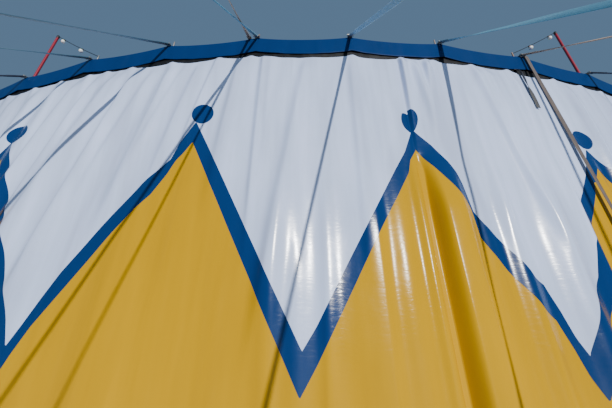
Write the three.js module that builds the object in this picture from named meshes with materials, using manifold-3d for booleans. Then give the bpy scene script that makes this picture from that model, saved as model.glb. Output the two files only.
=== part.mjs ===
// A run of the round side wall of a circus big top, with its eave, side poles, guy straps and stakes.
// Lengths are millimetres and +Z is up. Places are worked out round the tent's own vertical axis,
// and the whole run is moved at the end so that its footprint is centred on the origin.
import * as THREE from "three";
import { mergeVertices } from "three/addons/utils/BufferGeometryUtils.js";
import Module from "manifold-3d";

const solids = await Module();
solids.setup();

// Driving dimensions of the tent
const tentRadius = 12000;
const eaveHeight = 4500;
const zigzagsRound = 40;
const strapsRound = 76;
const bayCount = 5;
const strapCount = 10;
const seatGap = 0.3;

// Wall cloth
const clothThickness = 10;
const wallTop = 4215;
const wallFoot = 15;
const blueApex = 3310;
const yellowApex = 3050;
const whiteTip = 1482;
const blueTip = 1240;
const discRadius = 100;
const discHeight = 3393;
const panelJoint = 0.5;
const columnsPerBay = 16;
const wallRows = 3;
const seamGap = 0.8;
const foldDepth = 58;
const foldFadeHeight = 1000;

// Eave
const roofSlope = Math.PI / 6;
const valanceFoot = 4285;
const roofStripReach = 440;
const hemFoot = 4100;
const hemTop = 4330;

// Side poles
const poleInset = 70;
const poleRadius = 30;
const pinRadius = 8;
const pinTop = 4650;
const footSize = 110;
const footThickness = 8;
const poleSides = 12;
const pinHoleRadius = 13;

// Guy straps and stakes
const webbingWidth = 56;
const webbingThickness = 5;
const eavePlateWidth = 50;
const eavePlateThickness = 6;
const eavePlateInner = 40;
const eavePlateOuter = 32;
const ringRadius = 32;
const ringHeight = 24;
const ringBase = 300;
const stakeRadius = 20;
const stakeTop = 350;
const stakeSides = 12;
const ratchetPlace = 0.74;
const ratchetSize = [74, 46, 190];

// How each guy strap is laid, from the left end: how far it turns from straight out, in degrees
// to the right, and how steeply it falls, as drop over reach along the ground.
const strapLays = [
  [-14, 1.02], [-14, 0.94], [-12, 0.98], [-15, 1.05], [-7, 0.96],
  [-1.5, 1.25], [5, 1.13], [5, 0.92], [9, 1.17], [9, 1.1],
];

// Storm straps, one beside the middle guy strap and one down the wall
const stormWidth = 46;
const stormThickness = 4;
const middleStormLay = [5, 0.88];
const middleStrap = 4;
const middleStormOffset = 84;
const wallStormStrap = 7;
const wallStormOffset = 52;
const stormTurn = 12;
const stormLap = 120;
const pegInset = 190;
const pegRadius = 14;
const pegTop = 220;
const tailOffset = 150;

// Light rods and festoon strings
const rodStraps = [1, 8];
const rodRadius = 15;
const rodTop = 5390;
const cableRadius = 4;
const bulbRadius = 24;
const bulbGap = 0.12;

const zigzagAngle = (2 * Math.PI) / zigzagsRound;
const strapAngle = (2 * Math.PI) / strapsRound;
const wallEnd = (bayCount / 2) * zigzagAngle;
const poleLine = tentRadius - poleInset;
const clothInner = tentRadius - clothThickness;
const eaveCorner = clothInner - seatGap;
const stripDrop = clothThickness / Math.cos(roofSlope);
const slopeRise = Math.tan(roofSlope);

const part = new THREE.Group();

const finishes = {
  white: [0xc4cddc, 0.32, 0],
  blue: [0x0b4f93, 0.34, 0],
  yellow: [0xe0a800, 0.32, 0],
  blackCloth: [0x12161e, 0.6, 0],
  galvanised: [0x8f8d88, 0.5, 0.8],
  steelStake: [0x6d655c, 0.6, 0.7],
  blueWebbing: [0x3d7aa6, 0.7, 0],
  tanWebbing: [0x8c6f5a, 0.8, 0],
  greyWebbing: [0x545a62, 0.8, 0],
  redPaint: [0x96202a, 0.45, 0.2],
  blackRubber: [0x15161a, 0.6, 0],
  bulbGlass: [0xeef0ee, 0.2, 0],
};

// Adds one named piece with its own material.
function addPiece(name, geometry, finish) {
  const [color, roughness, metalness] = finishes[finish];
  const material = new THREE.MeshStandardMaterial({ color, roughness, metalness });
  const piece = new THREE.Mesh(geometry, material);
  piece.name = name;
  part.add(piece);
}

// A point at a distance and an angle from the tent's axis; angle 0 is the middle of the run.
function onArc(radius, angle, height) {
  return new THREE.Vector3(radius * Math.sin(angle), -radius * Math.cos(angle), height);
}

// Turns a geometry into a solid that can be cut and joined.
function toSolid(geometry) {
  const bare = geometry.clone();
  bare.deleteAttribute("normal");
  bare.deleteAttribute("uv");
  const welded = mergeVertices(bare, 1e-3);
  const vertProperties = new Float32Array(welded.attributes.position.array);
  const triVerts = new Uint32Array(welded.index.array);
  return new solids.Manifold(new solids.Mesh({ numProp: 3, vertProperties, triVerts }));
}

// Turns a solid back into a geometry.
function fromSolid(solid) {
  const mesh = solid.getMesh();
  const geometry = new THREE.BufferGeometry();
  geometry.setAttribute("position", new THREE.BufferAttribute(new Float32Array(mesh.vertProperties), 3));
  geometry.setIndex(new THREE.BufferAttribute(new Uint32Array(mesh.triVerts), 1));
  geometry.computeVertexNormals();
  return geometry;
}

// An upright cylinder standing at a height, round the vertical through x = 0, y = 0.
function uprightCylinder(radius, base, top, sides) {
  const geometry = new THREE.CylinderGeometry(radius, radius, top - base, sides);
  geometry.rotateX(Math.PI / 2);
  geometry.translate(0, 0, (base + top) / 2);
  return geometry;
}

// Places a geometry made round its own vertical at a distance and an angle from the tent's axis.
// Its own -Y side then looks away from the tent.
function placeOnArc(geometry, radius, angle) {
  geometry.rotateZ(angle);
  const place = onArc(radius, angle, 0);
  geometry.translate(place.x, place.y, place.z);
  return geometry;
}

// A closed sheet swept round the tent. Each angle has a list of rows from low to high,
// and each row is an outer and an inner point, given as [radius, height].
function arcSheet(angles, rowsAt) {
  const positions = [];
  const faces = [];
  const rowCount = rowsAt(angles[0]).length;
  const loopLength = 2 * rowCount;
  for (const angle of angles) {
    const rows = rowsAt(angle);
    const loop = [...rows.map((row) => row[0]), ...rows.map((row) => row[1]).reverse()];
    for (const [radius, height] of loop) {
      positions.push(...onArc(radius, angle, height).toArray());
    }
  }
  for (let column = 0; column < angles.length - 1; column += 1) {
    for (let step = 0; step < loopLength; step += 1) {
      const next = (step + 1) % loopLength;
      const a = column * loopLength + step;
      const b = a + loopLength;
      const c = (column + 1) * loopLength + next;
      const d = column * loopLength + next;
      faces.push(a, b, c, a, c, d);
    }
  }
  const lastLoop = (angles.length - 1) * loopLength;
  for (let row = 0; row < rowCount - 1; row += 1) {
    const inner = loopLength - 1 - row;
    faces.push(row, row + 1, inner - 1, row, inner - 1, inner);
    faces.push(lastLoop + row, lastLoop + inner - 1, lastLoop + row + 1);
    faces.push(lastLoop + row, lastLoop + inner, lastLoop + inner - 1);
  }
  const geometry = new THREE.BufferGeometry();
  geometry.setAttribute("position", new THREE.Float32BufferAttribute(positions, 3));
  geometry.setIndex(faces);
  geometry.computeVertexNormals();
  return geometry;
}

// The columns of a stretch of cloth between two places counted in zigzags from the middle,
// drawn in by half a seam at each end.
function clothColumns(fromBay, toBay) {
  const count = Math.round((toBay - fromBay) * columnsPerBay);
  const angles = [];
  for (let column = 0; column <= count; column += 1) {
    angles.push((fromBay + column / columnsPerBay) * zigzagAngle);
  }
  const halfSeam = seamGap / 2 / tentRadius;
  angles[0] += halfSeam;
  angles[count] -= halfSeam;
  return angles;
}

// How far a fold stands out at a place on the wall: nothing along the top, most low down,
// and deeper towards the right end of the run.
function clothRadius(angle, height) {
  const arc = angle * tentRadius;
  const wave = 0.5 + 0.27 * Math.sin(arc / 101) + 0.23 * Math.sin(arc / 76 + 1.3);
  const fade = THREE.MathUtils.smoothstep(wallTop - height, 0, foldFadeHeight);
  const lean = 0.6 + 0.4 * THREE.MathUtils.smoothstep(angle, -wallEnd, wallEnd / 2);
  return tentRadius + foldDepth * wave * fade * lean;
}

// The rows of a folded stretch of wall between two heights.
function wallRowsBetween(angle, low, high, rowCount) {
  const rows = [];
  for (let row = 0; row <= rowCount; row += 1) {
    const height = low + ((high - low) * row) / rowCount;
    const radius = clothRadius(angle, height);
    rows.push([[radius, height], [radius - clothThickness, height]]);
  }
  return rows;
}

// How high a zigzag line runs at an angle: tips fall on whole bays and apexes half way between.
function zigzagHeight(angle, tip, apex) {
  const bay = angle / zigzagAngle;
  return tip + (apex - tip) * 2 * Math.abs(bay - Math.round(bay));
}

// A cylinder that goes through the wall, for a disc on the tip of a zigzag.
function discCore(radius, angle) {
  const geometry = new THREE.CylinderGeometry(radius, radius, 400, 28);
  geometry.translate(0, -tentRadius, 0);
  geometry.rotateZ(angle);
  geometry.translate(0, 0, discHeight);
  return toSolid(geometry);
}

// The apexes that a stretch of wall touches, as angles.
function apexAngles(fromBay, toBay) {
  const angles = [];
  for (let bay = -bayCount / 2; bay <= bayCount / 2; bay += 1) {
    if (bay >= fromBay && bay <= toBay) angles.push(bay * zigzagAngle);
  }
  return angles;
}

// One wall panel: the white upper field, the blue zigzag with its discs, and the yellow lower field.
function addWallPanel(side, fromBay, toBay) {
  const columns = clothColumns(fromBay, toBay);
  const apexes = apexAngles(fromBay, toBay);
  const blueTop = (angle) => zigzagHeight(angle, whiteTip, blueApex);
  const blueFoot = (angle) => zigzagHeight(angle, blueTip, yellowApex);
  const whole = toSolid(arcSheet(columns, (angle) => wallRowsBetween(angle, wallFoot, wallTop, wallRows + 1)));
  let white = toSolid(
    arcSheet(columns, (angle) => wallRowsBetween(angle, blueTop(angle) + seamGap, wallTop, wallRows)),
  );
  let blue = toSolid(arcSheet(columns, (angle) => wallRowsBetween(angle, blueFoot(angle), blueTop(angle), 1)));
  for (const angle of apexes) {
    white = white.subtract(discCore(discRadius + seatGap, angle));
    blue = blue.add(whole.intersect(discCore(discRadius, angle)));
  }
  const yellow = arcSheet(columns, (angle) =>
    wallRowsBetween(angle, wallFoot, blueFoot(angle) - seamGap, wallRows),
  );
  addPiece(`white_field_${side}`, fromSolid(white), "white");
  addPiece(`blue_zigzag_${side}`, fromSolid(blue), "blue");
  addPiece(`yellow_field_${side}`, yellow, "yellow");
}

// The upright cloth band along the eave, and the black lacing hem behind it that the wall hangs from.
function addEaveCloth() {
  const columns = clothColumns(-bayCount / 2, bayCount / 2);
  const valanceTop = eaveHeight - clothThickness * slopeRise;
  const valance = arcSheet(columns, () => [
    [[tentRadius, valanceFoot], [clothInner, valanceFoot]],
    [[tentRadius, valanceTop], [clothInner, valanceTop]],
  ]);
  const hemOuter = clothInner - seatGap;
  const hemInner = hemOuter - clothThickness;
  const hem = arcSheet(columns, () => [
    [[hemOuter, hemFoot], [hemInner, hemFoot]],
    [[hemOuter, hemTop], [hemInner, hemTop]],
  ]);
  addPiece("eave_valance", valance, "blue");
  addPiece("wall_lacing_hem", hem, "blackCloth");
}

// The lowest strip of the roof cloth, with an eyelet over each side pole.
function addRoofStrip(straps) {
  const columns = clothColumns(-bayCount / 2, bayCount / 2);
  const upper = eaveCorner - roofStripReach;
  const upperHeight = eaveHeight + roofStripReach * slopeRise;
  const strip = arcSheet(columns, () => [
    [[eaveCorner, eaveHeight], [eaveCorner, eaveHeight - stripDrop]],
    [[upper, upperHeight], [upper, upperHeight - stripDrop]],
  ]);
  let solid = toSolid(strip);
  for (const strap of straps) {
    const holeRadius = strap.hasRod ? rodRadius + 1 : pinHoleRadius;
    const hole = uprightCylinder(holeRadius, eaveHeight - 200, eaveHeight + 400, poleSides);
    solid = solid.subtract(toSolid(placeOnArc(hole, poleLine, strap.angle)));
  }
  addPiece("roof_edge_strip", fromSolid(solid), "blue");
}

// The height of the roof cloth's underside at a distance from the tent's axis.
function roofUnderside(radius) {
  return eaveHeight + (eaveCorner - radius) * slopeRise - stripDrop;
}

// The top of a side pole: its head sits under the roof cloth.
const poleTop = roofUnderside(poleLine + poleRadius) - seatGap;

// A side pole with its foot plate, and the pin on its head that goes through the roof's eyelet.
function addSidePole(strap) {
  const foot = new THREE.BoxGeometry(footSize, footSize, footThickness);
  foot.translate(0, 0, footThickness / 2);
  const tube = uprightCylinder(poleRadius, footThickness / 2, poleTop, poleSides);
  let pole = toSolid(foot).add(toSolid(tube));
  if (!strap.hasRod) {
    pole = pole.add(toSolid(uprightCylinder(pinRadius, poleTop - 20, pinTop, poleSides)));
  }
  addPiece(`side_pole_${strap.label}`, placeOnArc(fromSolid(pole), poleLine, strap.angle), "galvanised");
}

// A flat strip of webbing between two points, with its width lying level.
function webbing(from, to, width, thickness) {
  const along = new THREE.Vector3().subVectors(to, from);
  const length = along.length();
  const across = new THREE.Vector3().crossVectors(along, new THREE.Vector3(0, 0, 1)).normalize();
  const depth = new THREE.Vector3().crossVectors(along.clone().normalize(), across);
  const geometry = new THREE.BoxGeometry(width, thickness, length);
  const turn = new THREE.Matrix4().makeBasis(across, depth, along.clone().normalize());
  turn.setPosition(new THREE.Vector3().addVectors(from, to).multiplyScalar(0.5));
  geometry.applyMatrix4(turn);
  return toSolid(geometry);
}

// The steel plate of a guy strap: it lies on the roof cloth, over the pin, and ends just past the eave.
function eavePlate(strap) {
  const reach = eavePlateInner + poleInset + eavePlateOuter;
  const middle = tentRadius + (eavePlateOuter - poleInset - eavePlateInner) / 2;
  const plate = new THREE.BoxGeometry(eavePlateWidth, reach / Math.cos(roofSlope), eavePlateThickness);
  plate.rotateX(roofSlope);
  const lift = eavePlateThickness / 2 / Math.cos(roofSlope) + seatGap;
  plate.translate(0, 0, eaveHeight + (eaveCorner - middle) * slopeRise + lift);
  const holeRadius = (strap.hasRod ? rodRadius : pinRadius) + 0.6;
  const hole = uprightCylinder(holeRadius, eaveHeight - 200, eaveHeight + 400, poleSides);
  return toSolid(placeOnArc(plate, middle, strap.angle)).subtract(
    toSolid(placeOnArc(hole, poleLine, strap.angle)),
  );
}

// The ring that a strap ends in, round a stake.
function stakeRing(innerRadius, outerRadius, base) {
  const outline = [
    [innerRadius, base],
    [outerRadius, base],
    [outerRadius, base + ringHeight],
    [innerRadius, base + ringHeight],
    [innerRadius, base],
  ];
  const ring = new THREE.LatheGeometry(outline.map(([x, y]) => new THREE.Vector2(x, y)), stakeSides);
  ring.rotateX(Math.PI / 2);
  return ring;
}

const eaveEnd = tentRadius + eavePlateOuter - 8;
const eaveEndHeight = eaveHeight + (eaveCorner - eaveEnd) * slopeRise + eavePlateThickness / 2;
const ringMiddle = ringBase + ringHeight / 2;
const stakeReach = stakeRadius + 6;

// A stake driven into the ground, shown from ground level up.
function addStake(name, place) {
  const stake = uprightCylinder(stakeRadius, 0, stakeTop, stakeSides);
  stake.translate(place.x, place.y, 0);
  addPiece(name, stake, "steelStake");
}

// A strap from an eave point to a stake: webbing, ratchet and ring as one piece.
function strapToStake(start, angle, [turn, slope], width, thickness) {
  const heading = angle + THREE.MathUtils.degToRad(turn);
  const run = (start.z - ringMiddle) / slope;
  const outward = new THREE.Vector3(Math.sin(heading), -Math.cos(heading), 0);
  const end = start.clone().addScaledVector(outward, run).setZ(ringMiddle);
  const stakePlace = end.clone().addScaledVector(outward, stakeReach).setZ(0);
  const ring = stakeRing(stakeRadius + seatGap, ringRadius, ringBase);
  ring.translate(stakePlace.x, stakePlace.y, 0);
  const ratchetMiddle = start.clone().lerp(end, ratchetPlace);
  const along = new THREE.Vector3().subVectors(end, start).normalize();
  const half = along.clone().multiplyScalar(ratchetSize[2] / 2);
  const ratchet = webbing(
    ratchetMiddle.clone().sub(half),
    ratchetMiddle.clone().add(half),
    ratchetSize[0],
    ratchetSize[1],
  );
  const solid = webbing(start, end, width, thickness).add(ratchet).add(toSolid(ring));
  return { solid, stakePlace };
}

// A guy strap from its plate on the pole's pin out and down to its stake.
function addGuyStrap(strap) {
  const start = onArc(eaveEnd, strap.angle, eaveEndHeight);
  const run = strapToStake(start, strap.angle, strap.lay, webbingWidth, webbingThickness);
  addPiece(`guy_strap_${strap.label}`, fromSolid(run.solid.add(eavePlate(strap))), "blueWebbing");
  addStake(`ground_stake_${strap.label}`, run.stakePlace);
}

// The stretch of a storm strap that lies on the roof cloth, and the point where it turns over the eave.
function stormClip(angle) {
  const lift = stormThickness / 2 / Math.cos(roofSlope) + seatGap;
  const onRoof = (radius) => onArc(radius, angle, eaveHeight + (eaveCorner - radius) * slopeRise + lift);
  const start = onRoof(tentRadius + stormTurn);
  return { clip: webbing(onRoof(tentRadius - stormLap), start, stormWidth, stormThickness), start };
}

// The brown storm strap that leaves the eave beside the middle guy strap and passes over it.
function addMiddleStormStrap(strap) {
  const angle = strap.angle - middleStormOffset / tentRadius;
  const { clip, start } = stormClip(angle);
  const run = strapToStake(start, strap.angle, middleStormLay, stormWidth, stormThickness);
  addPiece("storm_strap_middle", fromSolid(run.solid.add(clip)), "tanWebbing");
  addStake("ground_stake_storm", run.stakePlace);
}

// The brown storm strap that drops down the face of the wall to a peg at its foot.
function addWallStormStrap(strap) {
  const angle = strap.angle + wallStormOffset / tentRadius;
  const { clip, start } = stormClip(angle);
  const pegMiddle = onArc(tentRadius + pegInset, angle, 0);
  const ring = stakeRing(pegRadius + seatGap, pegRadius + 10, pegTop - 50);
  ring.translate(pegMiddle.x, pegMiddle.y, 0);
  const foot = onArc(tentRadius + pegInset - pegRadius - 5, angle, pegTop - 50 + ringHeight / 2);
  const solid = webbing(start, foot, stormWidth, stormThickness).add(clip).add(toSolid(ring));
  addPiece("storm_strap_wall", fromSolid(solid), "tanWebbing");
  const peg = uprightCylinder(pegRadius, 0, pegTop, stakeSides);
  addPiece("storm_peg", peg.translate(pegMiddle.x, pegMiddle.y, 0), "steelStake");
}

// A round tube along a list of points.
function tubeAlong(points, radius, sides, steps) {
  const outline = new THREE.Shape();
  for (let side = 0; side < sides; side += 1) {
    const turn = (2 * Math.PI * side) / sides;
    const x = radius * Math.cos(turn);
    const y = radius * Math.sin(turn);
    if (side === 0) outline.moveTo(x, y);
    else outline.lineTo(x, y);
  }
  outline.closePath();
  const extrudePath = new THREE.CatmullRomCurve3(points);
  return new THREE.ExtrudeGeometry(outline, { steps, extrudePath, bevelEnabled: false });
}

// A festoon string hangs almost straight from its rod to the pin of the next pole towards the
// middle: [distance along the eave, height] at each end.
const festoonStart = [19, 5368];
const festoonEnd = [975, 4638];
const festoonSag = 18;
const festoonSteps = 16;
const bulbPlaces = [0.19, 0.67];

// A light rod on the head of its pole, with the festoon string that runs to the next pin.
function addLightRod(strap, side, towardsMiddle) {
  const rod = uprightCylinder(rodRadius, poleTop + seatGap, rodTop, poleSides);
  addPiece(`light_rod_${side}`, placeOnArc(rod, poleLine, strap.angle), "redPaint");
  const angleAt = (along) => strap.angle + (towardsMiddle * along) / poleLine;
  const points = [];
  for (let step = 0; step <= festoonSteps; step++) {
    const share = step / festoonSteps;
    const along = THREE.MathUtils.lerp(festoonStart[0], festoonEnd[0], share);
    const drop = 4 * festoonSag * share * (1 - share);
    const height = THREE.MathUtils.lerp(festoonStart[1], festoonEnd[1], share) - drop;
    points.push(onArc(poleLine, angleAt(along), height));
  }
  addPiece(`festoon_string_${side}`, tubeAlong(points, cableRadius, 8, 50), "blackRubber");
  const route = new THREE.CatmullRomCurve3(points);
  bulbPlaces.forEach((place, index) => {
    const along = route.getTangentAt(place);
    const below = new THREE.Vector3(0, 0, -1).addScaledVector(along, along.z).normalize();
    const centre = route.getPointAt(place).addScaledVector(below, cableRadius + bulbRadius + bulbGap);
    const bulb = new THREE.SphereGeometry(bulbRadius, 10, 7);
    bulb.rotateX(Math.PI / 2);
    bulb.translate(centre.x, centre.y, centre.z);
    addPiece(`festoon_bulb_${side}_${index + 1}`, bulb, "bulbGlass");
  });
}

// The loose tail of a strap that hangs down the wall: [distance out from the wall, height].
const tailRoute = [
  [-8, 4280], [-8, 4262], [-6.5, 4246], [-1.5, 4232], [3.2, 4220], [6, 4204], [8.5, 4180], [10.5, 4140],
  [12.5, 4095], [14.5, 4045], [16.5, 3990], [18.5, 3930], [20.5, 3870], [22, 3800], [23, 3720], [23.5, 3640],
];

// Adds the loose tail as a flat strip that hangs from the lacing hem.
function addStrapTail(strap) {
  const outline = new THREE.Shape();
  outline.moveTo(-stormWidth / 2, -stormThickness / 2);
  outline.lineTo(stormWidth / 2, -stormThickness / 2);
  outline.lineTo(stormWidth / 2, stormThickness / 2);
  outline.lineTo(-stormWidth / 2, stormThickness / 2);
  outline.closePath();
  const extrudePath = new THREE.CatmullRomCurve3(
    tailRoute.map(([out, height]) => new THREE.Vector3(0, -out, height)),
  );
  const tail = new THREE.ExtrudeGeometry(outline, { steps: 24, extrudePath, bevelEnabled: false });
  const angle = strap.angle - tailOffset / tentRadius;
  addPiece("loose_strap_tail", placeOnArc(tail, tentRadius, angle), "greyWebbing");
}

// The strap points along the eave, numbered from the left end.
const straps = [];
for (let index = 0; index < strapCount; index += 1) {
  straps.push({
    angle: (index - (strapCount - 1) / 2) * strapAngle,
    label: String(index + 1).padStart(2, "0"),
    hasRod: rodStraps.includes(index),
    lay: strapLays[index],
  });
}

addWallPanel("left", -bayCount / 2, panelJoint);
addWallPanel("right", panelJoint, bayCount / 2);
addEaveCloth();
addRoofStrip(straps);
for (const strap of straps) {
  addSidePole(strap);
  addGuyStrap(strap);
}
addMiddleStormStrap(straps[middleStrap]);
addWallStormStrap(straps[wallStormStrap]);
addStrapTail(straps[wallStormStrap]);
addLightRod(straps[rodStraps[0]], "left", 1);
addLightRod(straps[rodStraps[1]], "right", -1);

const reach = new THREE.Box3().setFromObject(part);
const middle = reach.getCenter(new THREE.Vector3());
part.position.set(-middle.x, -middle.y, 0);

export default part;
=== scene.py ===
"""Dresses a run of a round circus tent's side wall: folded coated cloth with its zigzag, the eave
with its valance and lacing hem, side poles, guy straps with ratchets, stakes, storm straps and
festoon lights. Lengths are metres, +Z is up, and places are worked out round the tent's own axis."""

import logging
import math
from dataclasses import dataclass, field
from enum import Enum

import bmesh
import bpy
import numpy as np
from mathutils import Matrix, Vector


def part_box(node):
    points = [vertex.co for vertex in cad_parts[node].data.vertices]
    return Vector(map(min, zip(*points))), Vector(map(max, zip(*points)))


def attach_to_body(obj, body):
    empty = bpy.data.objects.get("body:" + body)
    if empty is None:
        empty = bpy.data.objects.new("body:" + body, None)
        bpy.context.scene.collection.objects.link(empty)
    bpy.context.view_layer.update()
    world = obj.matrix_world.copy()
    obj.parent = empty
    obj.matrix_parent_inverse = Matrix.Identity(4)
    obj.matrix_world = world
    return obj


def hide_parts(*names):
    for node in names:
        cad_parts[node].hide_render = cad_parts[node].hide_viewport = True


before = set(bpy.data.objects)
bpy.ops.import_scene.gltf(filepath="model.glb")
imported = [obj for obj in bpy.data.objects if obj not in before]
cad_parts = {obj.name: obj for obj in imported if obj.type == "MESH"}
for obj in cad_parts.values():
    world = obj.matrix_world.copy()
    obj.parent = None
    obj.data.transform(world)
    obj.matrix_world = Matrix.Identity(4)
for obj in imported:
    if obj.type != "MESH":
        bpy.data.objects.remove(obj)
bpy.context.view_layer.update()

LOG = logging.getLogger("tent_run")
BODY = "root"
UP = Vector((0.0, 0.0, 1.0))
ALL_SMOOTH = 180.0

# Types that recur
Socket = bpy.types.NodeSocket
Material = bpy.types.Material
Piece = bpy.types.Object
Pair = tuple[float, float]
Triple = tuple[float, float, float]


class Side(Enum):
    """The two wall panels, and the two light rods, seen from outside."""

    LEFT = "left"
    RIGHT = "right"


class Shade(Enum):
    """The colours of the straps' webbing."""

    NAVY = "navy"
    TEAL = "teal"
    CYAN = "cyan"
    SKY = "sky"
    TAN = "tan"
    BROWN = "brown"
    GREY = "grey"


# Places round the tent


@dataclass(frozen=True)
class TentPlace:
    """The round tent: its axis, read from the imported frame, and the sizes that its parts share."""

    centre_x: float
    centre_y: float
    radius: float = 12.0
    pole_line: float = 11.93
    roof_slope: float = math.radians(30)
    zigzags_round: int = 40
    straps_round: int = 76

    @classmethod
    def from_frame(cls) -> "TentPlace":
        """Finds the axis from the valance, which is centred on the run.

        Returns:
            The tent's place in the row frame.
        """
        low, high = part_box("eave_valance")
        return cls(centre_x=(low[0] + high[0]) / 2, centre_y=low[1] + cls.radius)

    @property
    def zigzag_angle(self) -> float:
        """The angle of one zigzag."""
        return 2 * math.pi / self.zigzags_round

    @property
    def strap_angle(self) -> float:
        """The angle between two guy straps."""
        return 2 * math.pi / self.straps_round

    def point(self, radius: float, angle: float, height: float) -> Vector:
        """A point round the tent.

        Args:
            radius: distance from the tent's axis.
            angle: angle from the middle of the run, positive to the right seen from outside.
            height: height above the ground.

        Returns:
            The point in the row frame.
        """
        x = self.centre_x + radius * math.sin(angle)
        y = self.centre_y - radius * math.cos(angle)
        return Vector((x, y, height))

    def points(self, radius: np.ndarray, angle: np.ndarray, height: np.ndarray) -> np.ndarray:
        """Many points round the tent.

        Args:
            radius: distances from the tent's axis.
            angle: angles from the middle of the run.
            height: heights above the ground.

        Returns:
            An array of the same shape with x, y and z as its last axis.
        """
        x = self.centre_x + radius * np.sin(angle)
        y = self.centre_y - radius * np.cos(angle)
        return np.stack(np.broadcast_arrays(x, y, height), axis=-1)

    def outward(self, angle: float) -> Vector:
        """The level direction straight away from the tent at an angle."""
        return Vector((math.sin(angle), -math.cos(angle), 0.0))

    def across(self, angle: float) -> Vector:
        """The level direction along the wall at an angle, to the right seen from outside."""
        return Vector((math.cos(angle), math.sin(angle), 0.0))

    def up_roof(self, angle: float) -> Vector:
        """The direction up the roof's slope at an angle."""
        return UP * math.sin(self.roof_slope) - self.outward(angle) * math.cos(self.roof_slope)


# Shader graphs


class ShaderGraph:
    """A small builder for node materials."""

    def __init__(self, name: str) -> None:
        """Starts an empty material.

        Args:
            name: the material's name.
        """
        self.material = bpy.data.materials.new(name)
        self.material.use_nodes = True
        self.tree = self.material.node_tree
        self.tree.nodes.clear()
        self.output = self.tree.nodes.new("ShaderNodeOutputMaterial")
        self.shader = self.tree.nodes.new("ShaderNodeBsdfPrincipled")
        self.link(self.shader.outputs["BSDF"], self.output.inputs["Surface"])

    def link(self, source: Socket, target: Socket) -> None:
        """Joins one socket to another."""
        self.tree.links.new(source, target)

    def node(self, kind: str, **values: object) -> bpy.types.Node:
        """Adds a node.

        Args:
            kind: the node's type.
            **values: its properties, or input sockets where the name is a socket's.

        Returns:
            The new node.
        """
        made = self.tree.nodes.new(kind)
        for key, value in values.items():
            label = key.replace("_", " ")
            if label in made.inputs:
                self.feed(made.inputs[label], value)
            else:
                setattr(made, key, value)
        return made

    def feed(self, socket: Socket, value: object) -> None:
        """Links a socket, or sets its default where the value isn't a socket.

        Args:
            socket: the input socket.
            value: the value, or the socket that it comes from.
        """
        if isinstance(value, Socket):
            self.link(value, socket)
        else:
            socket.default_value = value

    def coordinates(self, scale: Triple, by_uv: bool = True) -> Socket:
        """Texture coordinates, stretched along each axis.

        Args:
            scale: how many texture units a metre holds along each axis.
            by_uv: follow the piece's own flat map in place of its place in the frame.

        Returns:
            The coordinate socket.
        """
        source = self.node("ShaderNodeTexCoord").outputs["UV" if by_uv else "Object"]
        return self.node("ShaderNodeMapping", Vector=source, Scale=scale).outputs["Vector"]

    def noise(self, coordinates: Socket, detail: float = 3.0,
              roughness: float = 0.55, distortion: float = 0.0) -> Socket:
        """A noise value.

        Args:
            coordinates: where to read the noise.
            detail: how many octaves it has.
            roughness: how strong the fine octaves are.
            distortion: how far it is warped.

        Returns:
            The value socket.
        """
        made = self.node("ShaderNodeTexNoise", Vector=coordinates, Scale=1.0, Detail=detail,
                         Roughness=roughness, Distortion=distortion)
        return made.outputs["Fac"]

    def ramp(self, value: Socket, low: float, high: float,
             start: float = 0.0, end: float = 1.0) -> Socket:
        """Maps a value from one range to another, and holds it there.

        Args:
            value: the value to map.
            low: where the first range starts.
            high: where the first range ends.
            start: what low becomes.
            end: what high becomes.

        Returns:
            The mapped value.
        """
        made = self.node("ShaderNodeMapRange", Value=value, From_Min=low, From_Max=high,
                         To_Min=start, To_Max=end)
        return made.outputs["Result"]

    def math(self, operation: str, first: object, second: object) -> Socket:
        """Works out one value from two.

        Args:
            operation: the name of the sum.
            first: the first value.
            second: the second value.

        Returns:
            The result.
        """
        made = self.node("ShaderNodeMath", operation=operation)
        self.feed(made.inputs[0], first)
        self.feed(made.inputs[1], second)
        return made.outputs[0]

    def mix(self, share: object, first: object, second: object) -> Socket:
        """Mixes two colours.

        Args:
            share: how much of the second shows.
            first: the first colour.
            second: the second colour.

        Returns:
            The mixed colour.
        """
        made = self.node("ShaderNodeMix", data_type="RGBA")
        colours = [socket for socket in made.inputs if socket.type == "RGBA"]
        self.feed(made.inputs[0], share)
        self.feed(colours[0], first)
        self.feed(colours[1], second)
        return next(socket for socket in made.outputs if socket.type == "RGBA")

    def bump(self, height: Socket, strength: float, distance: float,
             below: Socket | None = None) -> Socket:
        """A bump made from a height.

        Args:
            height: the height value.
            strength: how strong the bump is.
            distance: how deep it is.
            below: a bump that this one lies on.

        Returns:
            The normal socket.
        """
        made = self.node("ShaderNodeBump", Height=height, Strength=strength, Distance=distance)
        if below is not None:
            self.link(below, made.inputs["Normal"])
        return made.outputs["Normal"]

    def dress(self, **values: object) -> None:
        """Sets or links the main shader's sockets."""
        for key, value in values.items():
            self.feed(self.shader.inputs[key.replace("_", " ")], value)


def rgba(colour: Triple, gain: float = 1.0) -> tuple[float, ...]:
    """A linear colour with full alpha, made lighter or darker by a gain."""
    return (colour[0] * gain, colour[1] * gain, colour[2] * gain, 1.0)


# Finishes


@dataclass(frozen=True)
class Finish:
    """A finish, with the name of its material."""

    name: str

    def build(self) -> Material:
        """Makes the material.

        Returns:
            The material.
        """
        graph = ShaderGraph(self.name)
        self.paint(graph)
        return graph.material

    def paint(self, graph: ShaderGraph) -> None:
        """Lays the finish's nodes. Each kind of finish has its own."""
        raise NotImplementedError


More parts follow.
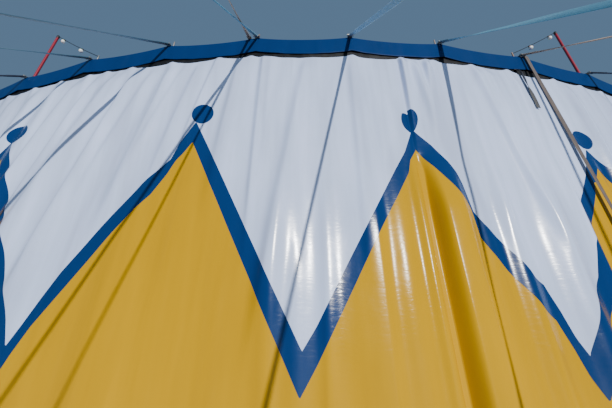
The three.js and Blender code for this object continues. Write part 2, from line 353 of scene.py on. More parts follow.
@dataclass(frozen=True)
class CoatedCloth(Finish):
    """Glossy coated tent cloth, finely crinkled and a little dusty, with the shade of its folds
    painted into its colour as soft light and dark streaks.
    """

    colour: Triple
    gloss_low: float = 0.15
    gloss_high: float = 0.25
    crinkle: float = 0.6
    crease: float = 0.25
    dust: float = 0.10
    dust_colour: Triple = (0.36, 0.34, 0.31)
    specular: float = 0.36
    # How much lighter and darker the colour is painted in upright streaks, as painted shade of the
    # cloth's folds.
    painted_fold_shade: float = 0.06

    def paint(self, graph: ShaderGraph) -> None:
        """Lays the cloth's colour with its painted fold shade in light and dark streaks, its dust
        streaks, its gloss and its creases.

        Args:
            graph: the material's graph.
        """
        # Upright light and dark streaks mixed with a broad random tone: painted shade of the cloth's
        # folds over the cloth's own uneven tone.
        tone = graph.noise(graph.coordinates((0.9, 0.5, 1.0)), detail=4.0)
        long_streaks = graph.noise(graph.coordinates((5.5, 0.5, 1.0)), detail=5.0, distortion=0.3)
        tone = graph.math("ADD", graph.math("MULTIPLY", tone, 0.4), graph.math("MULTIPLY", long_streaks, 0.6))
        colour = graph.mix(graph.ramp(tone, 0.36, 0.64), rgba(self.colour, 1.0 - self.painted_fold_shade),
                           rgba(self.colour, 1.0 + self.painted_fold_shade))
        streak = graph.noise(graph.coordinates((7.0, 0.55, 1.0)), detail=5.0, roughness=0.62)
        speck = graph.noise(graph.coordinates((38.0, 30.0, 1.0)), detail=3.0)
        patchy = graph.ramp(speck, 0.35, 0.7, 0.4, 1.0)
        grime = graph.math("MULTIPLY", graph.ramp(streak, 0.52, 0.78), patchy)
        grime = graph.math("MULTIPLY", grime, self.dust)
        colour = graph.mix(grime, colour, rgba(self.dust_colour))
        gloss = graph.noise(graph.coordinates((3.0, 2.0, 1.0)), detail=6.0, roughness=0.65)
        roughness = graph.ramp(gloss, 0.32, 0.68, self.gloss_low, self.gloss_high)
        fine = graph.noise(graph.coordinates((16.0, 46.0, 1.0)), detail=4.0, roughness=0.6,
                           distortion=0.6)
        normal = graph.bump(fine, self.crinkle, 0.0009)
        soft = graph.noise(graph.coordinates((7.0, 5.0, 1.0)), detail=2.0, distortion=0.4)
        normal = graph.bump(soft, self.crease, 0.004, normal)
        graph.dress(Base_Color=colour, Roughness=roughness, Normal=normal)
        graph.dress(IOR=1.47, Specular_IOR_Level=self.specular)


@dataclass(frozen=True)
class WovenWebbing(Finish):
    """Flat woven polyester webbing with a ribbed weave, faded where it is worn."""

    colour: Triple
    fade: Triple

    def paint(self, graph: ShaderGraph) -> None:
        """Lays the weave, and the fading on it.

        Args:
            graph: the material's graph.
        """
        across = graph.node("ShaderNodeTexWave", wave_type="BANDS", bands_direction="X", Scale=1.0,
                            Vector=graph.coordinates((110.0, 0.0, 0.0)))
        along = graph.node("ShaderNodeTexWave", wave_type="BANDS", bands_direction="Y", Scale=1.0,
                           Vector=graph.coordinates((0.0, 75.0, 0.0)))
        weave = graph.math("MULTIPLY", across.outputs["Fac"], along.outputs["Fac"])
        # Long streaks along the webbing where it has faded with wear.
        long_streaks = graph.ramp(graph.noise(graph.coordinates((24.0, 3.0, 1.0)), detail=4.0), 0.42, 0.75)
        colour = graph.mix(graph.ramp(weave, 0.0, 0.6), rgba(self.colour, 0.72),
                           rgba(self.colour, 1.08))
        colour = graph.mix(graph.math("MULTIPLY", long_streaks, 0.45), colour, rgba(self.fade))
        normal = graph.bump(weave, 0.6, 0.0009)
        graph.dress(Base_Color=colour, Normal=normal)
        graph.dress(Roughness=graph.ramp(long_streaks, 0.0, 1.0, 0.58, 0.82), Sheen_Weight=0.25)


@dataclass(frozen=True)
class WeatheredSteel(Finish):
    """Galvanised or bare steel with rust in patches."""

    metal: Triple = (0.42, 0.42, 0.41)
    rust: Triple = (0.20, 0.075, 0.028)
    rust_start: float = 0.55
    rust_end: float = 0.7

    def paint(self, graph: ShaderGraph) -> None:
        """Lays the zinc, and the rust in patches over it.

        Args:
            graph: the material's graph.
        """
        spangle = graph.node("ShaderNodeTexVoronoi", Scale=1.0,
                             Vector=graph.coordinates((90.0,) * 3, False))
        grey = graph.mix(graph.ramp(spangle.outputs["Distance"], 0.0, 0.8), rgba(self.metal, 1.1),
                         rgba(self.metal, 0.82))
        patches = graph.noise(graph.coordinates((9.0, 9.0, 4.0), False), detail=7.0, roughness=0.68)
        rusty = graph.ramp(patches, self.rust_start, self.rust_end)
        grain = graph.noise(graph.coordinates((160.0,) * 3, False), detail=3.0)
        brown = graph.mix(grain, rgba(self.rust, 0.7), rgba(self.rust, 1.6))
        graph.dress(Base_Color=graph.mix(rusty, grey, brown))
        graph.dress(Metallic=graph.ramp(rusty, 0.0, 1.0, 0.85, 0.05))
        graph.dress(Roughness=graph.ramp(rusty, 0.0, 1.0, 0.42, 0.88))
        scale = graph.math("MULTIPLY", grain, rusty)
        height = graph.math("ADD", scale, graph.math("MULTIPLY", rusty, 0.6))
        graph.dress(Normal=graph.bump(height, 0.5, 0.0008))


@dataclass(frozen=True)
class ChippedPaint(Finish):
    """Paint on steel, faded and chipped down to rust."""

    colour: Triple
    chip: Triple = (0.16, 0.07, 0.04)

    def paint(self, graph: ShaderGraph) -> None:
        """Lays the paint, and the chips in it.

        Args:
            graph: the material's graph.
        """
        flakes = graph.noise(graph.coordinates((45.0, 45.0, 20.0), False), detail=5.0)
        chips = graph.ramp(flakes, 0.66, 0.7)
        fade = graph.noise(graph.coordinates((6.0, 6.0, 3.0), False), detail=3.0)
        paint = graph.mix(fade, rgba(self.colour, 0.8), rgba(self.colour, 1.2))
        graph.dress(Base_Color=graph.mix(chips, paint, rgba(self.chip)))
        graph.dress(Roughness=graph.ramp(chips, 0.0, 1.0, 0.38, 0.85))
        graph.dress(Normal=graph.bump(graph.math("SUBTRACT", 1.0, chips), 0.6, 0.0004))


@dataclass(frozen=True)
class MouldedRubber(Finish):
    """Dull rubber or plastic with a fine grain and dust."""

    colour: Triple = (0.012, 0.012, 0.013)
    dust: Triple = (0.10, 0.095, 0.09)

    def paint(self, graph: ShaderGraph) -> None:
        """Lays the rubber with its grain and its dust.

        Args:
            graph: the material's graph.
        """
        clouds = graph.noise(graph.coordinates((30.0,) * 3, False), detail=5.0)
        dusty = graph.ramp(clouds, 0.5, 0.8, 0.0, 0.5)
        grain = graph.noise(graph.coordinates((700.0,) * 3, False), detail=2.0)
        graph.dress(Base_Color=graph.mix(dusty, rgba(self.colour), rgba(self.dust)))
        graph.dress(Roughness=graph.ramp(grain, 0.3, 0.7, 0.5, 0.66))
        graph.dress(Normal=graph.bump(grain, 0.3, 0.0003))


@dataclass(frozen=True)
class OpalGlass(Finish):
    """A milky lamp globe."""

    colour: Triple = (0.86, 0.85, 0.82)

    def paint(self, graph: ShaderGraph) -> None:
        """Lays the milky glass with a thin film of dirt.

        Args:
            graph: the material's graph.
        """
        film = graph.noise(graph.coordinates((60.0,) * 3, False), detail=4.0)
        graph.dress(Base_Color=graph.mix(film, rgba(self.colour, 0.9), rgba(self.colour, 1.08)))
        graph.dress(Roughness=graph.ramp(film, 0.3, 0.7, 0.1, 0.24), IOR=1.5)
        graph.dress(Subsurface_Weight=0.3, Subsurface_Scale=0.01)


# Each webbing's own colour, and the colour that it fades to. The cyan and sky webbings are light
# blue, made lighter still as a painted glow of the light that shines through them onto their shaded
# undersides.
WEBBING_COLOURS = {
    Shade.NAVY: ((0.012, 0.028, 0.07), (0.10, 0.12, 0.15)),
    Shade.TEAL: ((0.012, 0.10, 0.17), (0.12, 0.18, 0.22)),
    Shade.CYAN: ((0.012, 0.22, 0.38), (0.06, 0.30, 0.45)),
    Shade.SKY: ((0.12, 0.36, 0.57), (0.28, 0.48, 0.62)),
    Shade.TAN: ((0.34, 0.235, 0.165), (0.42, 0.40, 0.36)),
    Shade.BROWN: ((0.075, 0.050, 0.040), (0.24, 0.19, 0.16)),
    Shade.GREY: ((0.034, 0.032, 0.033), (0.075, 0.070, 0.068)),
}


def made_from(finish: Finish) -> Material:
    """A field that holds a finish's material, which is made with the object."""
    return field(default_factory=finish.build)


@dataclass
class Finishes:
    """Every material of the run, made once."""

    # The white and yellow cloths get more painted fold shade than the others.
    white: Material = made_from(CoatedCloth(
        "white_coated_cloth", (0.505, 0.60, 0.845), dust=0.05, painted_fold_shade=0.17))
    blue: Material = made_from(CoatedCloth(
        "blue_coated_cloth", (0.0006, 0.029, 0.125), dust=0.03, crinkle=0.8))
    eave_blue: Material = made_from(CoatedCloth(
        "blue_eave_cloth", (0.0002, 0.026, 0.115), gloss_low=0.36, gloss_high=0.48, dust=0.02,
        specular=0.12))
    yellow: Material = made_from(CoatedCloth(
        "yellow_coated_cloth", (0.49, 0.268, 0.0002), dust=0.02, crinkle=0.8, specular=0.16,
        painted_fold_shade=0.09))
    # The hem's near-black colour is also painted shade for the dark gap under the valance.
    black: Material = made_from(CoatedCloth(
        "black_hem_painted_gap_shade", (0.0045, 0.005, 0.007), gloss_low=0.42, gloss_high=0.6, dust=0.06,
        specular=0.3))
    pole: Material = made_from(WeatheredSteel("galvanised_pole"))
    pin: Material = made_from(WeatheredSteel("rusty_pin", rust_start=0.40, rust_end=0.58))
    stake: Material = made_from(WeatheredSteel(
        "rusty_stake", metal=(0.22, 0.20, 0.18), rust_start=0.36, rust_end=0.6))
    ratchet: Material = made_from(WeatheredSteel(
        "zinc_ratchet", metal=(0.5, 0.48, 0.42), rust_start=0.6, rust_end=0.8))
    red: Material = made_from(ChippedPaint("red_rod_paint", (0.24, 0.006, 0.022)))
    rubber: Material = made_from(MouldedRubber("black_rubber"))
    globe: Material = made_from(OpalGlass("opal_globe"))
    webbings: dict[Shade, Material] = field(default_factory=lambda: {
        shade: WovenWebbing(f"{shade.value}_webbing", colour, fade).build()
        for shade, (colour, fade) in WEBBING_COLOURS.items()})


# Meshes


def rounded_outline(width: float, height: float, rounding: float, steps: int = 3) -> np.ndarray:
    """The outline of a rectangle with round corners.

    Args:
        width: its size across.
        height: its size upward.
        rounding: its corner radius.
        steps: how many pieces each corner has.

    Returns:
        Its points, in turn.
    """
    rounding = min(rounding, width / 2 - 1e-5, height / 2 - 1e-5)
    points = []
    for corner, (x, y) in enumerate(((1, 1), (-1, 1), (-1, -1), (1, -1))):
        for turn in np.linspace(corner * math.pi / 2, (corner + 1) * math.pi / 2, steps + 1):
            points.append((x * (width / 2 - rounding) + rounding * math.cos(turn),
                           y * (height / 2 - rounding) + rounding * math.sin(turn)))
    return np.array(points)


def round_outline(radius: float, steps: int = 12) -> np.ndarray:
    """The outline of a circle."""
    turn = np.arange(steps) * 2 * math.pi / steps
    return np.stack([radius * np.cos(turn), radius * np.sin(turn)], axis=-1)


def circle_path(centre: Vector, radius: float, first: Vector, second: Vector,
                steps: int = 28) -> np.ndarray:
    """The path of a circle.

    Args:
        centre: its middle.
        radius: its radius.
        first: one direction that it lies in.
        second: the other, square to the first.
        steps: how many pieces it has.

    Returns:
        Its points, with the first repeated at the end.
    """
    turn = np.linspace(0.0, 2 * math.pi, steps + 1)
    around = np.outer(np.cos(turn), first) + np.outer(np.sin(turn), second)
    return np.array(centre) + radius * around


def smooth_path(points: list[Vector], count: int) -> np.ndarray:
    """Follows points with a smooth curve, evenly spaced along it.

    Args:
        points: the points that it goes through.
        count: how many points it gets.

    Returns:
        The curve's points.
    """
    known = np.array(points, dtype=float)
    ends = np.concatenate([[2 * known[0] - known[1]], known, [2 * known[-1] - known[-2]]])
    fine = []
    for index in range(1, len(ends) - 2):
        a, b, c, d = ends[index - 1:index + 3]
        for t in np.linspace(0.0, 1.0, 24, endpoint=False):
            fine.append(0.5 * (2 * b + (c - a) * t + (2 * a - 5 * b + 4 * c - d) * t ** 2
                               + (3 * b - a - 3 * c + d) * t ** 3))
    fine = np.array(fine + [known[-1]])
    length = np.concatenate([[0.0], np.cumsum(np.linalg.norm(np.diff(fine, axis=0), axis=1))])
    spots = np.linspace(0.0, length[-1], count)
    return np.stack([np.interp(spots, length, fine[:, axis]) for axis in range(3)], axis=-1)


def path_length(path: np.ndarray) -> float:
    """The length of a path."""
    return float(np.linalg.norm(np.diff(path, axis=0), axis=1).sum())


class MeshSketch:
    """Gathers grids, tubes and rings into one mesh with a flat map in metres."""

    def __init__(self) -> None:
        """Starts an empty sketch."""
        self.points: list[np.ndarray] = []
        self.maps: list[np.ndarray] = []
        self.quads: list[np.ndarray] = []
        self.count = 0

    def grid(self, points: np.ndarray, flat: np.ndarray, wrap: bool = False) -> "MeshSketch":
        """Adds a grid of quads.

        Args:
            points: an array of rows by columns by 3.
            flat: the flat map of each point, rows by columns by 2.
            wrap: join the last column to the first.

        Returns:
            The sketch itself.
        """
        rows, columns = points.shape[:2]
        index = np.arange(rows * columns).reshape(rows, columns) + self.count
        if wrap:
            index = np.concatenate([index, index[:, :1]], axis=1)
        quads = np.stack([index[:-1, :-1], index[:-1, 1:], index[1:, 1:], index[1:, :-1]], axis=-1)
        self.points.append(points.reshape(-1, 3))
        self.maps.append(flat.reshape(-1, 2))
        self.quads.append(quads.reshape(-1, 4))
        self.count += rows * columns
        return self

    def loft(self, sections: np.ndarray, lengths: np.ndarray, closed: bool = True) -> "MeshSketch":
        """Adds a skin over closed sections, with flat ends.

        Args:
            sections: an array of sections by section points by 3.
            lengths: how far along each section lies, for the flat map.
            closed: close both ends with a fan.

        Returns:
            The sketch itself.
        """
        if closed:
            first = np.repeat(sections[:1].mean(axis=1, keepdims=True), sections.shape[1], axis=1)
            last = np.repeat(sections[-1:].mean(axis=1, keepdims=True), sections.shape[1], axis=1)
            sections = np.concatenate([first, sections[:1], sections, sections[-1:], last])
            lengths = np.concatenate([lengths[:1], lengths[:1], lengths, lengths[-1:], lengths[-1:]])
        step = np.linalg.norm(np.diff(sections[len(sections) // 2], axis=0), axis=1)
        around = np.concatenate([[0.0], np.cumsum(step)])
        flat = np.stack(np.meshgrid(around, lengths), axis=-1)
        return self.grid(sections, flat, wrap=True)

    def sweep(self, path: np.ndarray, outline: np.ndarray, side: np.ndarray,
              turns: np.ndarray | float = 0.0, loop: bool = False) -> "MeshSketch":
        """Carries a flat outline along a path.

        Args:
            path: the points that its middle follows.
            outline: the outline's points, across and up.
            side: roughly which way across points at the start.
            turns: how far the outline turns round the path at each point, in radians.
            loop: the path comes back to its first point, which it repeats at its end.

        Returns:
            The sketch itself.
        """
        path = np.asarray(path, dtype=float)
        tangent = np.gradient(path, axis=0)
        if loop:
            tangent[0] = tangent[-1] = path[1] - path[-2]
        tangent = tangent / np.linalg.norm(tangent, axis=1, keepdims=True)
        across = np.empty_like(path)
        guide = np.asarray(side, dtype=float)
        for index, direction in enumerate(tangent):
            guide = guide - direction * (guide @ direction)
            guide = guide / np.linalg.norm(guide)
            across[index] = guide
        up = np.cross(tangent, across)
        turns = np.broadcast_to(turns, len(path))[:, None]
        wide = across * np.cos(turns) + up * np.sin(turns)
        deep = up * np.cos(turns) - across * np.sin(turns)
        aside = wide[:, None] * outline[None, :, :1]
        above = deep[:, None] * outline[None, :, 1:]
        sections = path[:, None] + aside + above
        step = np.linalg.norm(np.diff(path, axis=0), axis=1)
        return self.loft(sections, np.concatenate([[0.0], np.cumsum(step)]), closed=not loop)

    def revolve(self, centre: Vector, profile: list[Pair], steps: int = 28,
                axis: Vector = UP, closed: bool = True) -> "MeshSketch":
        """Turns a profile round an axis.

        Args:
            centre: where the profile's height is 0.
            profile: (radius, height) points from one end to the other.
            steps: how many sides the round has.
            axis: which way the height runs.
            closed: close both ends with a fan.

        Returns:
            The sketch itself.
        """
        axis = axis.normalized()
        first = axis.orthogonal().normalized()
        second = axis.cross(first)
        turn = np.arange(steps) * 2 * math.pi / steps
        circle = np.outer(np.cos(turn), first) + np.outer(np.sin(turn), second)
        values = np.array(profile, dtype=float)
        middles = np.array(centre) + values[:, 1, None, None] * np.array(axis)
        rings = middles + values[:, 0, None, None] * circle
        step = np.linalg.norm(np.diff(values, axis=0), axis=1)
        return self.loft(rings, np.concatenate([[0.0], np.cumsum(step)]), closed)

    def bar(self, start: Vector, axis: Vector, radius: float, length: float,
            steps: int = 18) -> "MeshSketch":
        """Adds a round bar with flat ends.

        Args:
            start: the middle of its first end.
            axis: which way it runs.
            radius: its radius.
            length: its length.
            steps: how many sides it has.

        Returns:
            The sketch itself.
        """
        return self.revolve(start, [(0.0, 0.0), (radius, 0.0), (radius, length), (0.0, length)],
                            steps, axis)

    def slab(self, centre: Vector, across: Vector, along: Vector, size: Triple,
             rounding: float = 0.004, bevel: float = 0.001) -> "MeshSketch":
        """Adds a plate with round corners and softened edges.

        Args:
            centre: its middle.
            across: the direction of its first size.
            along: the direction of its second size.
            size: its sizes across, along and through.
            rounding: the radius of its corners.
            bevel: how far its edges are softened.

        Returns:
            The sketch itself.
        """
        across = np.array(across.normalized())
        along = np.array(along.normalized())
        through = np.cross(across, along)
        half = size[2] / 2
        sections = []
        levels = ((bevel, -half), (0.0, bevel - half), (0.0, half - bevel), (bevel, half))
        for inset, height in levels:
            outline = rounded_outline(size[0] - 2 * inset, size[1] - 2 * inset, rounding)
            flat = outline[:, :1] * across + outline[:, 1:] * along
            sections.append(np.array(centre) + flat + through * height)
        return self.loft(np.array(sections), np.array([0.0, bevel, size[2] - bevel, size[2]]))

    def finish(self, name: str, material: Material,
               smooth_angle: float = 40.0) -> Piece:
        """Makes the object.

        Args:
            name: the piece's name.
            material: its material.
            smooth_angle: edges sharper than this, in degrees, stay sharp.

        Returns:
            The new object.
        """
        points = np.concatenate(self.points)
        quads = np.concatenate(self.quads)
        maps = np.concatenate(self.maps)
        mesh = bpy.data.meshes.new(name)
        mesh.from_pydata(points.tolist(), [], quads.tolist())
        layer = mesh.uv_layers.new(name="flat")
        corners = np.empty(len(mesh.loops), dtype=np.int32)
        mesh.loops.foreach_get("vertex_index", corners)
        layer.data.foreach_set("uv", maps[corners].astype(np.float32).ravel())
        mesh.validate()
        tidy_mesh(mesh)
        mesh.materials.append(material)
        made = bpy.data.objects.new(name, mesh)
        bpy.context.scene.collection.objects.link(made)
        mesh.polygons.foreach_set("use_smooth", np.ones(len(mesh.polygons), dtype=bool))
        mesh.set_sharp_from_angle(angle=math.radians(smooth_angle))
        return made


def tidy_mesh(mesh: bpy.types.Mesh) -> None:
    """Welds doubled points, drops empty faces and turns the faces outward.

    Args:
        mesh: the mesh to tidy in place.
    """
    work = bmesh.new()
    work.from_mesh(mesh)
    bmesh.ops.remove_doubles(work, verts=work.verts, dist=1e-6)
    bmesh.ops.dissolve_degenerate(work, dist=1e-7, edges=work.edges)
    bmesh.ops.recalc_face_normals(work, faces=work.faces)
    work.to_mesh(mesh)
    work.free()


def smoothstep(value: np.ndarray, low: float, high: float) -> np.ndarray:
    """Rises smoothly from 0 at low to 1 at high."""
    share = np.clip((np.asarray(value, dtype=float) - low) / (high - low), 0.0, 1.0)
    return share * share * (3 - 2 * share)


def attach(piece: Piece, slot: str, *nodes: str) -> Piece:
    """Fixes a finished piece to the tent's body and hides the nodes that it replaces.

    Args:
        piece: the piece.
        slot: the material slot that it takes its finish from; not used.
        *nodes: the nodes that it replaces.

    Returns:
        The piece.
    """
    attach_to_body(piece, BODY)
    if nodes:
        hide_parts(*nodes)
    LOG.info("%s: %d faces", piece.name, len(piece.data.polygons) if piece.type == "MESH" else 0)
    return piece


def cloth_grid(sketch: MeshSketch, place: TentPlace, radius: np.ndarray, along: np.ndarray,
               height: np.ndarray, up: np.ndarray | None = None) -> MeshSketch:
    """Adds a stretch of cloth to a sketch, with its flat map along and up.

    Args:
        sketch: the sketch to add to.
        place: where the tent stands.
        radius: the cloth's distances from the tent's axis.
        along: its places along the wall.
        height: its heights.
        up: how far up the flat cloth each row lies, where that isn't its height.

    Returns:
        The sketch.
    """
    points = place.points(radius, along / place.radius, height)
    flat = np.broadcast_arrays(along, height if up is None else up, points[..., 0])[:2]
    return sketch.grid(points, np.stack(flat, axis=-1))


# Wall


class CreaseNoise:
    """Smooth seeded noise over the wall's flat map."""

    def __init__(self, seed: int, across: float, down: float) -> None:
        """Draws the noise's grid.

        Args:
            seed: the seed of the draw.
            across: how far apart its points lie along the wall.
            down: how far apart they lie in height.
        """
        self.values = np.random.default_rng(seed).random((160, 160))
        self.across = across
        self.down = down

    def at(self, along: np.ndarray, height: np.ndarray) -> np.ndarray:
        """Reads the noise.

        Args:
            along: places along the wall.
            height: heights.

        Returns:
            Values from 0 to 1.
        """
        x = np.asarray(along) / self.across + 80.0
        y = np.asarray(height) / self.down + 20.0
        column, row = np.floor(x).astype(int), np.floor(y).astype(int)
        right, up = x - column, y - row
        right = right * right * (3 - 2 * right)
        up = up * up * (3 - 2 * up)
        size = self.values.shape[0]
        lower, upper = (
            self.values[column % size, line % size] * (1 - right)
            + self.values[(column + 1) % size, line % size] * right
            for line in (row, row + 1)
        )
        return lower * (1 - up) + upper * up


@dataclass(frozen=True)
class Fold:
    """One upright fold of the wall cloth.

    place is how far along the wall its ridge stands at its top, left and right how far the cloth
    takes to fall away on either side, depth how far the ridge stands out (or a valley goes in, if
    less than 0), and lean how far the ridge moves along with each metre down.
    """

    place: float
    left: float
    right: float
    depth: float
    top: float = 4.21
    full: float = 3.9
    foot: float = -1.0
    lean: float = 0.0

    def at(self, along: np.ndarray, height: np.ndarray) -> np.ndarray:
        """How far the fold stands out.

        Args:
            along: places along the wall.
            height: heights.

        Returns:
            The fold's share of the cloth's offset.
        """
        across = along - self.place - self.lean * (self.top - height)
        shape = np.exp(-(across / np.where(across < 0, self.left, self.right)) ** 2)
        start = smoothstep(self.top - height, 0.0, self.top - self.full)
        end = smoothstep(height, self.foot, self.foot + 0.9)
        return self.depth * shape * start * end


# The wall's folds: those that hang from the lacing from left to right, then the broad ones that
# only form lower down, then the gathered top beside the panel joint.
WALL_FOLDS = (
    Fold(-4.40, 0.09, 0.09, 0.034), Fold(-4.05, 0.07, 0.07, 0.026), Fold(-3.70, 0.10, 0.10, 0.036),
    Fold(-3.35, 0.09, 0.09, 0.030), Fold(-3.00, 0.07, 0.11, 0.032, lean=-0.12),
    Fold(-2.66, 0.09, 0.12, 0.026, foot=1.6, lean=-0.20),
    Fold(-2.38, 0.06, 0.10, 0.046, foot=1.8, lean=-0.26),
    Fold(-2.17, 0.045, 0.09, 0.036, foot=2.0, lean=-0.22),
    Fold(-1.93, 0.085, 0.12, 0.050, foot=1.5, lean=-0.27),
    Fold(-1.69, 0.055, 0.10, 0.054, foot=1.6, lean=-0.20),
    Fold(-1.50, 0.05, 0.08, 0.028, foot=2.2, lean=-0.23),
    Fold(-1.30, 0.065, 0.09, 0.042, foot=2.1, lean=-0.15),
    Fold(-1.17, 0.03, 0.06, 0.016, foot=2.5, lean=-0.22),
    Fold(-1.03, 0.04, 0.11, 0.026, foot=2.3, lean=-0.15),
    Fold(-0.86, 0.025, 0.10, 0.027, full=4.1, foot=2.6, lean=-0.16),
    Fold(-0.63, 0.045, 0.11, 0.030, foot=2.3, lean=-0.06),
    Fold(-0.395, 0.030, 0.14, 0.033, full=4.1, foot=1.9), Fold(-0.31, 0.03, 0.10, 0.014, foot=2.6),
    Fold(-0.15, 0.05, 0.08, 0.010, foot=2.4, lean=-0.10),
    Fold(0.05, 0.055, 0.14, 0.042, foot=1.2, lean=-0.13), Fold(0.475, 0.035, 0.12, 0.020, foot=1.8),
    Fold(0.68, 0.05, 0.12, 0.012, foot=2.4), Fold(1.58, 0.05, 0.12, 0.020, foot=2.0),
    Fold(1.765, 0.045, 0.20, 0.038, full=4.0, foot=1.8, lean=0.11),
    Fold(1.88, 0.03, 0.15, 0.016, full=4.0, foot=2.6, lean=0.12),
    Fold(2.22, 0.05, 0.12, 0.024, foot=1.8, lean=-0.05),
    Fold(2.88, 0.07, 0.07, 0.040), Fold(3.14, 0.06, 0.06, 0.032), Fold(3.40, 0.07, 0.07, 0.034),
    Fold(3.70, 0.07, 0.07, 0.036), Fold(3.98, 0.06, 0.06, 0.030), Fold(4.25, 0.08, 0.08, 0.038),
    Fold(-1.33, 0.12, 0.16, 0.026, top=2.6, full=1.9),
    Fold(-0.55, 0.07, 0.07, 0.008, top=3.0, full=2.4),
    Fold(-0.20, 0.07, 0.085, 0.022, top=3.0, full=2.35),
    Fold(-0.04, 0.07, 0.075, 0.014, top=2.8, full=2.2),
    Fold(0.17, 0.035, 0.07, 0.014, top=2.9, full=2.3),
    Fold(0.545, 0.17, 0.06, 0.026, top=2.9, full=2.3),
    Fold(0.73, 0.11, 0.10, 0.018, top=3.0, full=2.4),
    Fold(0.905, 0.045, 0.04, 0.020, top=3.1, full=2.5),
    Fold(1.05, 0.16, 0.30, 0.012, top=3.1, full=2.3),
    Fold(0.972, 0.028, 0.042, -0.046, top=3.02, full=2.75),
    Fold(1.070, 0.066, 0.15, 0.088, top=3.08, full=2.4),
    Fold(1.205, 0.08, 0.070, 0.046, top=3.05, full=2.4),
    Fold(1.36, 0.07, 0.07, 0.030, top=3.0, full=2.4),
    Fold(1.57, 0.095, 0.08, 0.046, top=3.1, full=2.4),
    Fold(1.94, 0.12, 0.12, 0.068, top=3.1, full=2.2, lean=0.02),
    Fold(2.27, 0.13, 0.05, 0.036, top=3.2, full=2.6),
    Fold(2.68, 0.05, 0.05, 0.024, top=3.3, full=2.7),
    Fold(0.950, 0.02, 0.02, -0.018, top=4.20, full=4.1, foot=2.7),
    Fold(0.984, 0.015, 0.075, 0.044, top=4.21, full=4.08, foot=3.1),
    Fold(1.105, 0.045, 0.05, 0.046, top=4.20, full=4.0, foot=3.0, lean=0.10),
    Fold(1.240, 0.026, 0.06, 0.050, top=4.21, full=4.05, foot=3.3, lean=-0.04),
)

# Where the gathers have carried the discs, and how broad they leave them, by how far from the
# middle their bay is.
DISC_SHIFT = {-1.5: -0.080, -0.5: 0.044, 1.5: -0.122}
DISC_BREADTH = {-1.5: 1.3, -0.5: 0.95, 1.5: 1.0}

# How far the gathers carry the cloth's print aside, at places along each panel: first for the
# zigzag's upper line, then for its lower one.
PRINT_SHIFT_LEFT = (
    (-3.6, 0.0, 0.0), (-3.0, 0.116, 0.116), (-2.5, 0.11, 0.11), (-2.2, 0.105, 0.105),
    (-2.05, 0.08, 0.08), (-1.96, 0.083, 0.09), (-1.9, 0.09, 0.118), (-1.83, 0.105, 0.13),
    (-1.75, 0.115, 0.118), (-1.6, 0.092, 0.097), (-1.45, 0.065, 0.072), (-1.3, 0.035, 0.04),
    (-1.2, -0.011, 0.0), (-1.1, -0.045, 0.0), (-1.05, -0.015, 0.012), (-1.0, -0.01, 0.0),
    (-0.95, 0.0, 0.0), (-0.7, -0.008, 0.0), (0.0, -0.01, 0.0), (0.1, -0.028, -0.015),
    (0.35, -0.035, -0.026), (0.55, -0.043, -0.03), (0.75, -0.051, -0.048), (0.86, -0.06, -0.055),
    (0.89, -0.05, -0.02), (0.955, -0.03, -0.03),
)
PRINT_SHIFT_RIGHT = (
    (0.94, 0.0, 0.0), (1.0, -0.018, -0.008), (1.1, -0.059, -0.016), (1.2, -0.075, -0.02),
    (1.25, -0.062, -0.03), (1.27, -0.023, -0.03), (1.28, 0.046, 0.0), (1.29, 0.083, 0.07),
    (1.35, 0.075, 0.065), (1.45, 0.038, 0.04), (1.55, 0.02, 0.018), (1.62, 0.008, 0.0),
    (1.69, -0.04, -0.042), (1.75, -0.01, -0.015), (1.79, 0.04, 0.028), (1.84, 0.055, 0.04),
    (1.95, 0.045, 0.035), (2.05, 0.045, 0.06), (2.15, 0.01, 0.015), (2.25, 0.05, 0.02),
    (2.30, 0.035, 0.025), (2.325, 0.175, 0.18), (2.4, 0.155, 0.165), (2.5, 0.15, 0.165),
    (2.55, 0.15, 0.18), (2.6, 0.138, 0.145), (2.69, 0.137, 0.137), (2.8, 0.12, 0.12),
    (3.3, 0.0, 0.0),
)


